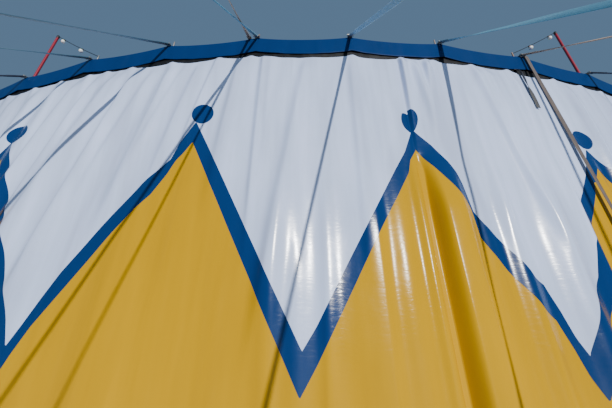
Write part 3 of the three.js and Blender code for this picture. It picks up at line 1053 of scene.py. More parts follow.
@dataclass
class WallCloth:
    """The round wall: where its folds stand and where its colours meet.

    A place along the wall is measured from the middle of the run, to the right seen from outside.
    joint is where the two panels meet, apex, tip and disc give heights at the middle and how far
    they drift for each metre along, and column and row how far apart the cloth's points lie.
    """

    place: TentPlace
    finishes: Finishes
    top: float = 4.215
    foot: float = 0.015
    blue_apex: float = 3.285
    yellow_apex: float = 3.07
    white_tip: float = 1.490
    blue_tip: float = 1.247
    disc_height: float = 3.385
    apex_drift: float = -0.0296
    tip_drift: float = -0.012
    disc_drift: float = -0.0235
    disc_radius: float = 0.100
    disc_tallness: float = 1.09
    joint_disc_tallness: float = 1.2
    joint_disc_drop: float = 0.025
    joint_disc_breadth: Pair = (0.74, 0.72)
    joint_disc_flare: float = 2.0
    joint_disc_cut: float = 0.085
    joint_bay: float = 0.5
    joint: float = 0.955
    bays: int = 5
    column: float = 0.009
    joint_column: float = 0.0055
    far_column: float = 0.02
    row: float = 0.0172
    near_joint: float = 0.5
    detailed: Pair = (-2.7, 3.0)
    left_lean: float = 0.24
    lap: float = 0.03
    weld_step: float = 0.0012
    skin: float = -0.003
    least_offset: float = 0.004
    fullness: float = 1.03
    band_fullness: float = 1.06
    band_rows: int = 18
    disc_steps: int = 30
    hook_pleat: Triple = (0.013, 0.040, 0.38)
    edge_drop: float = 0.020
    edge_sag: float = 0.034
    edge_bay: float = 0.34
    strap_place: float = 2.532
    strap_swell: float = 0.11
    tail_place: float = 2.330
    tail_foot: float = 3.55
    strap_half: float = 0.03
    strap_press: float = 0.9
    broad: CreaseNoise = field(default_factory=lambda: CreaseNoise(11, 0.36, 2.6))
    medium: CreaseNoise = field(default_factory=lambda: CreaseNoise(23, 0.12, 1.9))
    fine: CreaseNoise = field(default_factory=lambda: CreaseNoise(37, 0.05, 0.9))
    dent: CreaseNoise = field(default_factory=lambda: CreaseNoise(53, 0.20, 0.16))
    hooks: tuple[float, ...] = (
        -4.66, -4.33, -3.92, -3.53, -3.11, -2.73, -2.35, -2.12, -1.82, -1.37, -0.86, -0.53,
        0.50, 1.0, 1.27, 1.345, 1.76, 2.18, 2.77, 3.15, 3.47, 3.83, 4.2, 4.66,
    )

    def offset(self, along: np.ndarray, height: np.ndarray) -> np.ndarray:
        """How far the cloth stands out from the tent's radius.

        Args:
            along: places along the wall.
            height: heights.

        Returns:
            Offsets, never less than 0.
        """
        along = np.asarray(along, dtype=float)
        height = np.asarray(height, dtype=float)
        below = self.top - height
        leaning = along + self.left_lean * smoothstep(-along, 0.4, 1.5) * below
        high = smoothstep(height, 2.6, 3.4)
        broad = 0.014 * self.broad.at(leaning, height) * smoothstep(below, 0.0, 0.8)
        medium = (0.007 + 0.005 * high) * self.medium.at(leaning, height)
        medium = medium * (0.5 + 0.5 * smoothstep(below, 0.0, 0.5))
        wrinkled = high * (0.0012 + 0.0034 * smoothstep(-along, 0.7, 1.4))
        fine = (0.0006 + wrinkled) * self.fine.at(leaning, height)
        dent = (0.0010 + 0.0014 * high) * (self.dent.at(leaning, height) - 0.5)
        dent = dent * smoothstep(below, 0.3, 1.5)
        total = self.least_offset + broad + medium + fine + dent
        for fold in WALL_FOLDS:
            total = total + fold.at(along, height)
        total = total + self.pucker(along, below) + self.under_strap(along, height)
        total = self.least_offset + total * smoothstep(below, -0.01, 0.05)
        return np.minimum(np.maximum(total, self.least_offset), self.held_by_straps(along, height))

    def held_by_straps(self, along: np.ndarray, height: np.ndarray) -> np.ndarray:
        """How far out the cloth can stand under the storm strap and the loose tail on it.

        Args:
            along: places along the wall.
            height: heights.

        Returns:
            The most that the cloth can stand out.
        """
        beside_strap = np.maximum(np.abs(along - self.strap_place) - self.strap_half, 0.0)
        beside_tail = np.maximum(np.abs(along - self.tail_place) - self.strap_half, 0.0)
        strap = 0.006 + 0.036 * (4.47 - height) + self.strap_press * beside_strap
        tail = 0.004 + 0.05 * (4.25 - height) + self.strap_press * beside_tail
        return np.minimum(strap, np.where(height > self.tail_foot, tail, 1.0))

    def under_strap(self, along: np.ndarray, height: np.ndarray) -> np.ndarray:
        """How far the cloth swells out towards the storm strap that lies on it."""
        reach = 0.020 * (4.2 - height) * smoothstep(height, 0.6, 2.2)
        return np.maximum(reach, 0.0) * np.exp(-((along - self.strap_place) / self.strap_swell) ** 2)

    def pucker(self, along: np.ndarray, below: np.ndarray) -> np.ndarray:
        """The small pleats that hang down from the hooks.

        Args:
            along: places along the wall.
            below: how far each place is below the wall's top.

        Returns:
            How far they stand out.
        """
        depth, width, length = self.hook_pleat
        gap = np.abs(along[..., None] - np.array(self.hooks)).min(axis=-1)
        fade = np.exp(-np.clip(below, 0.0, None) / length)
        return depth * np.exp(-(gap / width) ** 2) * fade

    def edge_height(self, along: np.ndarray) -> np.ndarray:
        """The height of the wall's top edge, which hangs in small scallops between its hooks.

        Args:
            along: places along the wall.

        Returns:
            Its height at each place.
        """
        hooks = np.array(self.hooks)
        after = np.clip(np.searchsorted(hooks, along), 1, len(hooks) - 1)
        start, end = hooks[after - 1], hooks[after]
        share = np.clip((along - start) / (end - start), 0.0, 1.0)
        sag = self.edge_sag * np.minimum((end - start) / self.edge_bay, 1.7)
        return self.top - self.edge_drop - sag * (4 * share * (1 - share)) ** 0.6

    def columns(self, start: float, end: float) -> np.ndarray:
        """Places for a panel's columns of points, closest beside the joint and widest far from it.

        Args:
            start: the panel's first place along the wall.
            end: its last.

        Returns:
            The places, from left to right.
        """
        near = self.joint + self.near_joint
        breaks = (self.detailed[0], near, self.detailed[1])
        marks = [start, *(mark for mark in breaks if start < mark < end), end]
        runs = []
        for low, high in zip(marks, marks[1:]):
            middle = (low + high) / 2
            step = self.column if self.detailed[0] < middle < self.detailed[1] else self.far_column
            step = self.joint_column if self.joint < middle < near else step
            runs.append(np.linspace(low, high, int(math.ceil((high - low) / step)) + 1)[:-1])
        return np.concatenate([*runs, [end]])

    def zigzag(self, along: np.ndarray, tip: float, apex: float, side: Side,
               line: int) -> np.ndarray:
        """The height of a zigzag line, with its print carried aside by the gathers.

        Args:
            along: places along the wall.
            tip: the height of its lowest points.
            apex: the height of its highest points.
            side: the panel.
            line: 1 for the blue band's upper line, 2 for its lower one.

        Returns:
            Its height at each place.
        """
        known = np.array(PRINT_SHIFT_LEFT if side is Side.LEFT else PRINT_SHIFT_RIGHT)
        printed = along + np.interp(along, known[:, 0], known[:, line])
        bay = printed / self.place.radius / self.place.zigzag_angle
        share = 2 * np.abs(bay - np.round(bay))
        low, high = tip + self.tip_drift * along, apex + self.apex_drift * along
        return low * (1 - share) + high * share

    def skin_grid(self, sketch: MeshSketch, along: np.ndarray, height: np.ndarray,
                  lift: float) -> MeshSketch:
        """Adds a stretch of the cloth's face, which stands proud by lift, to a sketch."""
        radius = self.place.radius + self.offset(along, height) + self.skin + lift
        return cloth_grid(sketch, self.place, radius, along, height)

    def between(self, columns: np.ndarray, low: np.ndarray, high: np.ndarray, rows: int,
                lift: float = 0.0) -> MeshSketch:
        """Sketches the cloth between two lines.

        Args:
            columns: places along the wall.
            low: the lower line's height at each column.
            high: the upper line's height at each column.
            rows: how many rows of faces it has.
            lift: how far it stands proud of the cloth.

        Returns:
            A new sketch with it.
        """
        share = np.linspace(0.0, 1.0, rows + 1)[:, None]
        height = low[None, :] * (1 - share) + high[None, :] * share
        along = np.broadcast_to(columns[None, :], height.shape)
        return self.skin_grid(MeshSketch(), along, height, lift)

    def colour_field(self, name: str, material: Material, columns: np.ndarray, low: np.ndarray,
                     high: np.ndarray) -> Piece:
        """Builds one colour of a panel between two lines.

        Args:
            name: the piece's name.
            material: its material.
            columns: places along the wall.
            low: the lower line's height at each column.
            high: the upper line's height at each column.

        Returns:
            The piece.
        """
        rows = int(math.ceil(float((high - low).max()) / self.row))
        return self.between(columns, low, high, rows).finish(name, material, ALL_SMOOTH)

    def disc(self, sketch: MeshSketch, middle: float, sides: Pair, side: Side,
             breadth: float) -> None:
        """Adds a disc, or the half of one that lies on one panel and is gathered at the joint.

        Args:
            sketch: the sketch to add to.
            middle: the disc's place along the wall.
            sides: how much of its width is there, from -1 to 1.
            side: which panel it lies on.
            breadth: how much broader than high it is.
        """
        across = np.linspace(sides[0], sides[1], self.disc_steps + 1)
        up = np.linspace(-1.0, 1.0, self.disc_steps + 1)
        a, b = np.meshgrid(across, up)
        x = a * np.sqrt(1 - b * b / 2) * self.disc_radius * breadth
        z = b * np.sqrt(1 - a * a / 2) * self.disc_radius * self.disc_tallness
        height = self.disc_height + self.disc_drift * middle
        if middle == self.joint:
            left, right = self.joint_disc_breadth
            z = z * self.joint_disc_tallness
            x = x * (left if side is Side.LEFT else right + self.joint_disc_flare * z)
            height -= self.joint_disc_drop
            z = np.minimum(z, self.joint_disc_cut) if side is Side.LEFT else z
        x = np.maximum(x, 0.0) if sides[0] == 0.0 else x
        x = np.minimum(x, 0.0) if sides[1] == 0.0 else x
        self.skin_grid(sketch, middle + x, height + z, self.weld_step)

    def panel(self, side: Side) -> None:
        """Builds one panel: white field, blue zigzag with its discs, and yellow field.

        Args:
            side: which panel.
        """
        outer = self.bays / 2
        ends = (-outer, self.joint_bay) if side is Side.LEFT else (self.joint_bay, outer)
        pitch = self.place.zigzag_angle * self.place.radius
        start, end = (self.joint if bay == self.joint_bay else bay * pitch for bay in ends)
        columns = self.columns(start, end)
        blue_top = self.zigzag(columns, self.white_tip, self.blue_apex, side, 1)
        blue_foot = self.zigzag(columns, self.blue_tip, self.yellow_apex, side, 2)
        white = self.colour_field(f"white_cloth_{side.value}", self.finishes.white, columns,
                                  blue_top - self.lap, self.edge_height(columns))
        yellow = self.colour_field(f"yellow_cloth_{side.value}", self.finishes.yellow, columns,
                                   np.full_like(columns, self.foot), blue_foot + self.lap)
        band = self.between(columns, blue_foot, blue_top, self.band_rows, self.weld_step)
        for step in range(self.bays + 1):
            bay = step - outer
            if ends[0] <= bay <= ends[1]:
                sides = (0.0 if bay == ends[0] else -1.0, 0.0 if bay == ends[1] else 1.0)
                spot = self.joint if bay == self.joint_bay else bay * pitch + DISC_SHIFT.get(bay, 0.0)
                self.disc(band, spot, sides, side, DISC_BREADTH.get(bay, 1.0))
        blue = band.finish(f"blue_cloth_{side.value}", self.finishes.blue, ALL_SMOOTH)
        self.declare(side, white, yellow, blue)

    def declare(self, side: Side, white: Piece, yellow: Piece,
                blue: Piece) -> None:
        """Fixes a panel's pieces to the tent in place of the panel's nodes.

        Args:
            side: which panel.
            white: its white field.
            yellow: its yellow field.
            blue: its zigzag band.
        """
        tall = self.top - self.foot
        white_share = (self.top - (self.white_tip + self.blue_apex) / 2) / tall
        shares = ((white, "white", white_share), (yellow, "yellow", 1 - white_share))
        for piece, colour, share in shares:
            attach(piece, f"{colour}_cloth", f"{colour}_field_{side.value}")
        attach(blue, "blue_cloth", f"blue_zigzag_{side.value}")

    def build(self) -> None:
        """Builds both panels."""
        for side in Side:
            self.panel(side)


# Eave


@dataclass
class EaveCloth:
    """The eave: the blue valance, the roof's edge and the black lacing hem behind them. The hem's
    near-black colour also serves as painted shade for the gap under the valance.

    Halfway between two straps the cloth hangs lower by sag, and further in by tuck. A line is a
    distance from the tent's axis, and each flat size is how high the cloth is before it is hung.
    """

    place: TentPlace
    finishes: Finishes
    wall: WallCloth
    strap_angles: list[float]
    step: float = 0.0118
    sag: float = 0.045
    tuck: float = 0.006
    valance_line: float = 11.997
    valance_top: float = 4.494
    valance_foot: float = 4.285
    valance_flat: float = 0.225
    valance_rows: int = 14
    rolled_hem: float = 0.003
    roof_line: float = 11.9897
    roof_height: float = 4.4955
    roof_reach: float = 0.44
    roof_flat: float = 0.508
    roof_rows: int = 23
    hem_line: float = 11.981
    hem_foot: float = 4.10
    hem_top: float = 4.33
    hem_flat: float = 0.24
    hem_rows: int = 18
    hem_crumple: float = 0.003
    eyelet: Pair = (0.0085, 0.0022)
    loop_cord: float = 0.0045
    loop_route: tuple[Pair, ...] = (
        (11.9985, -0.018), (12.005, -0.010), (12.001, 0.006), (11.991, 0.022), (11.983, 0.045),
    )
    pin_eyelet: Pair = (0.021, 0.0035)
    pin_eyelet_lift: float = 0.011
    ripple: CreaseNoise = field(default_factory=lambda: CreaseNoise(71, 0.09, 0.5))
    crumple: CreaseNoise = field(default_factory=lambda: CreaseNoise(83, 0.035, 0.06))

    @property
    def run(self) -> float:
        """The eave's length round the tent."""
        return self.wall.bays * self.place.zigzag_angle * self.place.radius

    def columns(self) -> np.ndarray:
        """Places along the eave, as one row."""
        return np.linspace(-self.run / 2, self.run / 2, int(self.run / self.step))[None, :]

    def hang(self, along: np.ndarray) -> np.ndarray:
        """How far the cloth hangs between the strap points, from 0 at them to 1 halfway."""
        bay = along / self.place.radius / self.place.strap_angle + (len(self.strap_angles) - 1) / 2
        return np.clip(4 * (bay % 1.0) * (1 - bay % 1.0), 0.0, 1.0) ** 0.85

    def valance(self) -> Piece:
        """Builds the valance with the rolled hem along its foot.

        Returns:
            The piece.
        """
        along = self.columns()
        share = np.linspace(0.0, 1.0, self.valance_rows + 1)[:, None]
        hang = self.hang(along)
        top = self.valance_top - self.sag * hang
        foot = self.valance_foot - 1.15 * self.sag * hang - 0.006 * self.ripple.at(along, 3.0)
        height = top * (1 - share) + foot * share
        radius = self.valance_line - self.tuck * hang + self.ripple.at(along, height) * 0.008 * share
        sketch = cloth_grid(MeshSketch(), self.place, radius, along, height)
        turn = np.linspace(0.0, 1.75 * math.pi, 8)[:, None]
        rolled = self.rolled_hem * (1 - np.cos(turn))
        foot = height[-1:] - self.rolled_hem * np.sin(turn)
        cloth_grid(sketch, self.place, radius[-1:] - rolled, along, foot)
        piece = sketch.finish("valance_cloth", self.finishes.eave_blue, ALL_SMOOTH)
        return attach(piece, "blue_cloth", "eave_valance")

    def roof_edge(self) -> Piece:
        """Builds the roof's edge with its sag and its folds towards the strap points.

        Returns:
            The piece.
        """
        along = self.columns()
        reach = np.linspace(0.0, 1.0, self.roof_rows + 1)[:, None] ** 1.2 * self.roof_reach
        hang = self.hang(along)
        fade = 1 - 0.75 * reach / self.roof_reach
        radius = self.roof_line - self.tuck * hang * fade - reach
        height = self.roof_height + reach * math.tan(self.place.roof_slope) - self.sag * hang * fade
        fold = 0.010 * (self.ripple.at(along, reach + 8.0) - 0.5) * smoothstep(reach, 0.0, 0.1) * hang
        sketch = cloth_grid(MeshSketch(), self.place, radius, along, height + fold, reach)
        piece = sketch.finish("roof_cloth", self.finishes.eave_blue, ALL_SMOOTH)
        return attach(piece, "blue_cloth", "roof_edge_strip")

    def hem(self) -> Piece:
        """Builds the black lacing hem, crumpled where it shows below the valance. Its near-black
        colour also paints the shade in that gap.

        Returns:
            The piece.
        """
        along = self.columns()
        height = np.linspace(self.hem_foot, self.hem_top, self.hem_rows + 1)[:, None]
        shown = smoothstep(height, 4.17, 4.23)
        bulge = np.exp(-((self.ripple.at(along * 0.6, 5.0) - 0.75) / 0.18) ** 2)
        crumple = self.hem_crumple * self.crumple.at(along, height) + self.hem_crumple * bulge
        radius = self.hem_line + shown * crumple
        sketch = cloth_grid(MeshSketch(), self.place, radius, along, height)
        piece = sketch.finish("lacing_hem", self.finishes.black, ALL_SMOOTH)
        return attach(piece, "black_cloth", "wall_lacing_hem")

    def lacing(self) -> Piece:
        """Builds the lacing loops with their eyelets, one at each hook.

        Returns:
            The piece.
        """
        sketch = MeshSketch()
        for hook in self.wall.hooks:
            angle = hook / self.place.radius
            across = self.place.across(angle)
            top = float(self.wall.edge_height(np.array([hook]))[0])
            eye = self.place.point(self.place.radius + 0.0035, angle, top - 0.016)
            sketch.sweep(circle_path(eye, self.eyelet[0], across, UP),
                         round_outline(self.eyelet[1], 8), self.place.outward(angle), loop=True)
            route = [self.place.point(line, angle, top + up) for line, up in self.loop_route]
            sketch.sweep(smooth_path(route, 14), round_outline(self.loop_cord, 8), across)
        return attach(sketch.finish("lacing_loops", self.finishes.rubber), "black_rubber")

    def eyelets(self) -> Piece:
        """Builds the steel eyelets in the roof's edge, one round each pin.

        Returns:
            The piece.
        """
        sketch = MeshSketch()
        rise = (self.roof_line - self.place.pole_line) * math.tan(self.place.roof_slope)
        height = self.roof_height + rise + self.pin_eyelet_lift
        for angle in self.strap_angles:
            middle = self.place.point(self.place.pole_line, angle, height)
            across, inward = self.place.across(angle), self.place.up_roof(angle)
            sketch.sweep(circle_path(middle, self.pin_eyelet[0], across, inward),
                         round_outline(self.pin_eyelet[1], 8), across.cross(inward), loop=True)
        return attach(sketch.finish("roof_eyelets", self.finishes.ratchet), "pole_steel")

    def build(self) -> None:
        """Builds the eave: its cloths, lacing loops and eyelets."""
        valance, roof, hem = self.valance(), self.roof_edge(), self.hem()
        loops, eyelets = self.lacing(), self.eyelets()


# Poles, stakes and pegs


@dataclass
class SidePoles:
    """The side poles with their foot plates, and the pins on their heads."""

    place: TentPlace
    finishes: Finishes
    angles: list[float]
    rods: tuple[int, int]
    radius: float = 0.030
    head: float = 4.505
    bevel: float = 0.002
    weld: float = 0.006
    foot_size: float = 0.110
    foot_thickness: float = 0.008
    bolt_spread: float = 0.040
    bolt_radius: float = 0.009
    pin_radius: float = 0.008
    pin_collar: float = 0.012
    pin_top: float = 4.65

    def tube_profile(self) -> list[Pair]:
        """The tube, from its weld on the foot plate to its head.

        Returns:
            Its (radius, height) points.
        """
        radius, foot = self.radius, self.foot_thickness
        weld = [(radius, foot - 0.002), (radius + self.weld, foot), (radius + 0.004, foot + 0.005),
                (radius, foot + 0.010)]
        shaft = [(radius, 1.0), (radius, 2.2), (radius, 3.4)]
        top, bevel = self.head - 0.024, self.bevel
        head = [(radius, top - 2 * bevel), (radius - bevel / 2, top - bevel), (radius - bevel, top)]
        return weld + shaft + head

    def pin_profile(self) -> list[Pair]:
        """The pin, from the collar in the pole's head to its tip.

        Returns:
            Its (radius, height) points.
        """
        radius, top = self.pin_radius, self.pin_top
        collar = [(self.pin_collar, self.head - 0.03), (self.pin_collar, self.head - 0.012),
                  (radius, self.head - 0.008)]
        return collar + [(radius, 4.56), (radius, 4.60), (radius - 0.0003, top - 0.004),
                         (radius - 0.002, top), (0.0, top)]

    def build(self) -> None:
        """Builds every pole in one piece, and every pin in another."""
        poles, pins = MeshSketch(), MeshSketch()
        nodes = [f"side_pole_{index + 1:02d}" for index in range(len(self.angles))]
        bolt, foot = self.bolt_radius, self.foot_thickness
        bolt_head = [(bolt, foot - 0.002), (bolt, foot + 0.004), (bolt - 0.002, foot + 0.007),
                     (0.0, foot + 0.0075)]
        for index, angle in enumerate(self.angles):
            base = self.place.point(self.place.pole_line, angle, 0.0)
            outward, across = self.place.outward(angle), self.place.across(angle)
            poles.slab(base + UP * foot / 2, across, outward, (self.foot_size, self.foot_size, foot),
                       0.012, 0.0015)
            poles.revolve(base, self.tube_profile(), 32)
            for out in (-self.bolt_spread, self.bolt_spread):
                for aside in (-self.bolt_spread, self.bolt_spread):
                    pins.revolve(base + across * aside + outward * out, bolt_head, 12)
            if index not in self.rods:
                pins.revolve(base, self.pin_profile(), 20)
        attach(poles.finish("side_pole_tubes", self.finishes.pole), "pole_steel", *nodes)
        attach(pins.finish("side_pole_pins", self.finishes.pin), "stake_steel")


@dataclass
class Stakes:
    """Driven steel stakes with heads spread by the hammer."""

    finishes: Finishes
    draw: np.random.Generator = field(default_factory=lambda: np.random.default_rng(17))

    def build(self, name: str, node: str) -> None:
        """Builds the stake that stands for a node.

        Args:
            name: the piece's name.
            node: the node.
        """
        low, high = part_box(node)
        centre = Vector(((low[0] + high[0]) / 2, (low[1] + high[1]) / 2, 0.0))
        radius, top = (high[0] - low[0]) / 2, high[2]
        spread = radius * (1.08 + 0.10 * self.draw.random())
        shaft = [(radius * 0.97, 0.0), (radius * 0.98, 0.06), (radius * 0.99, 0.16),
                 (radius * 0.98, top - 0.024), (radius, top - 0.018)]
        struck = [(spread, top - 0.009), (spread * 0.99, top - 0.005), (spread * 0.88, top - 0.001),
                  (radius * 0.5, top), (0.0, top)]
        sketch = MeshSketch().revolve(centre, shaft + struck, 28)
        attach(sketch.finish(name, self.finishes.stake), "stake_steel", node)


# Straps


@dataclass(frozen=True)
class StrapLay:
    """How a strap runs.

    turn is its turn away from straight out, in degrees, and fall its drop for each metre outward.
    twist is how far the webbing turns just below its eave end, in degrees, further how much more it
    turns after that, and bunch how much of its width it keeps there.
    """

    turn: float
    fall: float
    shade: Shade
    twist: float
    bunch: float
    further: float = 0.0


# The guy straps from left to right.
GUY_STRAPS = (
    StrapLay(-14, 1.02, Shade.NAVY, -24.0, 0.7),
    StrapLay(-14, 0.94, Shade.NAVY, -24.0, 0.7),
    StrapLay(-12, 0.98, Shade.TEAL, -28.0, 0.75),
    StrapLay(-15, 1.05, Shade.TEAL, -14.0, 0.8),
    StrapLay(-7, 0.96, Shade.CYAN, -52.0, 0.5),
    StrapLay(-1.5, 1.25, Shade.SKY, -72.0, 0.65),
    StrapLay(5, 1.13, Shade.CYAN, 34.0, 1.0, further=28.0),
    StrapLay(5, 0.92, Shade.TAN, 36.0, 0.5),
    StrapLay(9, 1.17, Shade.NAVY, 30.0, 0.6),
    StrapLay(9, 1.1, Shade.NAVY, 18.0, 0.7),
)
STORM_LAY = StrapLay(5, 0.88, Shade.TAN, -50.0, 0.6, further=-32.0)


@dataclass
class TautStrap:
    """A strap pulled tight from the eave to a stake: its webbing, ratchet and stake ring.

    aside is how far along the eave it starts from the strap point at angle. The turns give how far
    below the eave its webbing twists, and how far above the ratchet it has twisted back.
    """

    place: TentPlace
    finishes: Finishes
    label: str
    node: str
    angle: float
    lay: StrapLay
    slot: str = "blue_webbing"
    start_line: float = 12.024
    start_height: float = 4.4832
    aside: float = 0.0
    width: float = 0.056
    thickness: float = 0.004
    first_turn: Pair = (0.10, 0.75)
    second_turn: Pair = (0.75, 1.55)
    turned_back: Pair = (1.1, 0.15)
    stitched: float = 0.17
    ratchet_at: float = 0.74
    spool_along: float = 0.02
    spring_bar_along: float = 0.066
    grip_along: float = 0.088
    coil_turns: float = 2.6
    ring_height: float = 0.312
    ring_half: float = 0.011
    ring_rounding: float = 0.003
    stake_radius: float = 0.020
    stake_gap: float = 0.006

    def __post_init__(self) -> None:
        """Works out where the strap runs."""
        start_angle = self.angle + self.aside / self.place.radius
        self.start = self.place.point(self.start_line, start_angle, self.start_height)
        self.outward = self.place.outward(self.angle + math.radians(self.lay.turn))
        self.end = self.start + self.outward * (self.start.z - self.ring_height) / self.lay.fall
        self.end.z = self.ring_height
        self.along = (self.end - self.start).normalized()
        self.across = self.along.cross(UP).normalized()
        self.up = self.across.cross(self.along)
        self.length = (self.end - self.start).length
        self.stake = self.end + self.outward * (self.stake_radius + self.stake_gap)

    def at(self, share: float, lift: float = 0.0) -> Vector:
        """A point on the strap.

        Args:
            share: how far down it lies, from 0 to 1.
            lift: how far it stands off the strap.

        Returns:
            The point.
        """
        return self.start.lerp(self.end, share) + self.up * lift

    def outline(self) -> np.ndarray:
        """The webbing's cross-section."""
        return rounded_outline(self.width, self.thickness, self.thickness * 0.45, 2)

    def belt(self, sketch: MeshSketch) -> None:
        """Adds the webbing: the long run with its twist, its stitched loop and its loose end.

        Args:
            sketch: the sketch to add to.
        """
        bunched = self.outline() * np.array([self.lay.bunch, 1 / self.lay.bunch])
        share = np.linspace(0.0, self.ratchet_at - 0.07 / self.length, 150)
        path = np.array(self.start) + np.outer(share, np.array(self.end - self.start))
        down = share * self.length
        back = smoothstep(down, *(down[-1] - before for before in self.turned_back))
        first = self.lay.twist * (smoothstep(down, *self.first_turn) - back)
        second = self.lay.further * (smoothstep(down, *self.second_turn) - back)
        sketch.sweep(path, bunched, self.across, np.radians(first + second))
        stitched = np.linspace(0.0, self.stitched / self.length, 8)
        doubled = np.array([self.at(value, self.thickness) for value in stitched])
        fold = np.radians(self.lay.twist * smoothstep(stitched * self.length, *self.first_turn))
        sketch.sweep(doubled, bunched * np.array([0.97, 0.9]), self.across, fold)
        below = np.linspace(self.ratchet_at + 0.03 / self.length, 0.994, 40)
        sketch.sweep(np.array([self.at(value) for value in below]), self.outline(), self.across)
        tail = [self.at(self.ratchet_at + beyond / self.length, -drop)
                for beyond, drop in ((-0.05, 0.012), (0.03, 0.020), (0.16, 0.012), (0.32, 0.008))]
        sketch.sweep(smooth_path(tail, 24), self.outline(), self.across)

    def ratchet(self, sketch: MeshSketch) -> None:
        """Adds the ratchet: side plates, handle with its grip, spool and spring bar.

        Args:
            sketch: the sketch to add to.
        """
        middle = self.at(self.ratchet_at)
        half = self.width / 2
        spool = middle + self.along * self.spool_along
        for side in (-1, 1):
            out = self.across * side
            arm = middle + out * (half + 0.0075) - self.along * 0.025 + self.up * 0.010
            sketch.slab(middle + out * (half + 0.004), self.along, self.up, (0.150, 0.030, 0.003),
                        0.012, 0.0008)
            sketch.slab(arm, self.along, self.up, (0.135, 0.020, 0.003), 0.009, 0.0008)
            sketch.bar(spool + out * (half + 0.002), out, 0.017, 0.003, 20)
        grip = middle - self.along * self.grip_along + self.up * 0.012 - self.across * (half + 0.008)
        long = self.width + 0.016
        sketch.revolve(grip, [(0.0, 0.0), (0.009, 0.0), (0.010, 0.003), (0.010, long - 0.003),
                              (0.009, long), (0.0, long)], 18, self.across)
        sketch.bar(spool - self.across * (half + 0.008), self.across, 0.008, long)
        spring = middle + self.along * self.spring_bar_along - self.across * (half + 0.006)
        sketch.bar(spring, self.across, 0.006, self.width + 0.012, 16)

    def coil(self, sketch: MeshSketch) -> None:
        """Adds the webbing wound on the ratchet's spool.

        Args:
            sketch: the sketch to add to.
        """
        centre = np.array(self.at(self.ratchet_at) + self.along * self.spool_along)
        turn = np.linspace(0.0, self.coil_turns * 2 * math.pi, 70)
        radius = 0.010 + 0.0045 * turn / (2 * math.pi)
        wound = np.outer(radius * np.cos(turn), self.along) + np.outer(radius * np.sin(turn), self.up)
        outline = rounded_outline(self.width, self.thickness * 0.8, 0.0012, 2)
        sketch.sweep(centre + wound, outline, self.across)

    def ring(self, sketch: MeshSketch) -> None:
        """Adds the steel ring round the stake.

        Args:
            sketch: the sketch to add to.
        """
        low, high = self.ring_height - self.ring_half, self.ring_height + self.ring_half
        inner, outer = self.stake_radius + 0.001, self.stake_radius + 0.011
        soft = self.ring_rounding
        profile = [(inner, low + soft), (inner + soft, low), (outer - soft, low), (outer, low + soft),
                   (outer, high - soft), (outer - soft, high), (inner + soft, high),
                   (inner, high - soft), (inner, low + soft)]
        sketch.revolve(Vector((self.stake.x, self.stake.y, 0.0)), profile, 32, closed=False)

    def fittings(self, sketch: MeshSketch) -> None:
        """Adds the steel that every strap has."""
        self.ratchet(sketch)
        self.ring(sketch)

    def build(self) -> None:
        """Builds the strap as a webbing piece and a steel piece."""
        belt, steel = MeshSketch(), MeshSketch()
        self.belt(belt)
        self.coil(belt)
        self.fittings(steel)
        webbing = self.finishes.webbings[self.lay.shade]
        attach(belt.finish(f"webbing_{self.label}", webbing), self.slot, self.node)
        attach(steel.finish(f"fittings_{self.label}", self.finishes.ratchet), "pole_steel")


@dataclass
class GuyStrap(TautStrap):
    """A guy strap, which ends in a plate on its pole's pin."""

    plate_tip: float = 12.032
    plate: Triple = (0.050, 0.160, 0.006)
    plate_back: float = 0.082
    eye_rise: float = 0.017887
    loop_bar: Pair = (0.005, 0.060)
    lug: Triple = (0.032, 0.016, 0.004)

    def fittings(self, sketch: MeshSketch) -> None:
        """Adds the plate over the pin too, with its raised eye and the bar for the webbing.

        Args:
            sketch: the sketch to add to.
        """
        super().fittings(sketch)
        down = -self.place.up_roof(self.angle)
        across = self.place.across(self.angle)
        normal = down.cross(across)
        tip = self.place.point(self.plate_tip, self.angle, self.start_height - 0.004)
        middle = tip - down * self.plate_back
        sketch.slab(middle, across, down, self.plate, 0.018, 0.0012)
        eye = self.place.point(self.place.pole_line, self.angle, middle.z + self.eye_rise)
        raised = [(0.011, 0.0), (0.019, 0.0), (0.020, 0.003), (0.019, 0.007), (0.011, 0.008)]
        sketch.revolve(eye + normal * 0.002, raised, 24, normal)
        radius, length = self.loop_bar
        bar = tip - across * length / 2 - down * 0.006 + normal * 0.004
        sketch.bar(bar, across, radius, length, 16)
        for side in (-1, 1):
            lug = tip + across * side * 0.0305 - down * 0.012 + normal * 0.002
            sketch.slab(lug, down, normal, self.lug, 0.006, 0.0008)


@dataclass
class StormStrap(TautStrap):
    """A storm strap, which lies over the eave without a fitting."""

    slot: str = "tan_webbing"
    start_line: float = 12.012
    start_height: float = 4.4898
    aside: float = -0.084
    width: float = 0.046
    lap: float = 0.12

    def belt(self, sketch: MeshSketch) -> None:
        """Adds the webbing with the stretch that lies on the roof.

        Args:
            sketch: the sketch to add to.
        """
        super().belt(sketch)
        roof = self.place.up_roof(self.angle)
        route = [self.start + roof * back for back in (self.lap, self.lap * 0.5, self.lap * 0.1)]
        route += [self.start + self.along * 0.010, self.start + self.along * 0.05]
        sketch.sweep(smooth_path(route, 30), self.outline(), self.across)


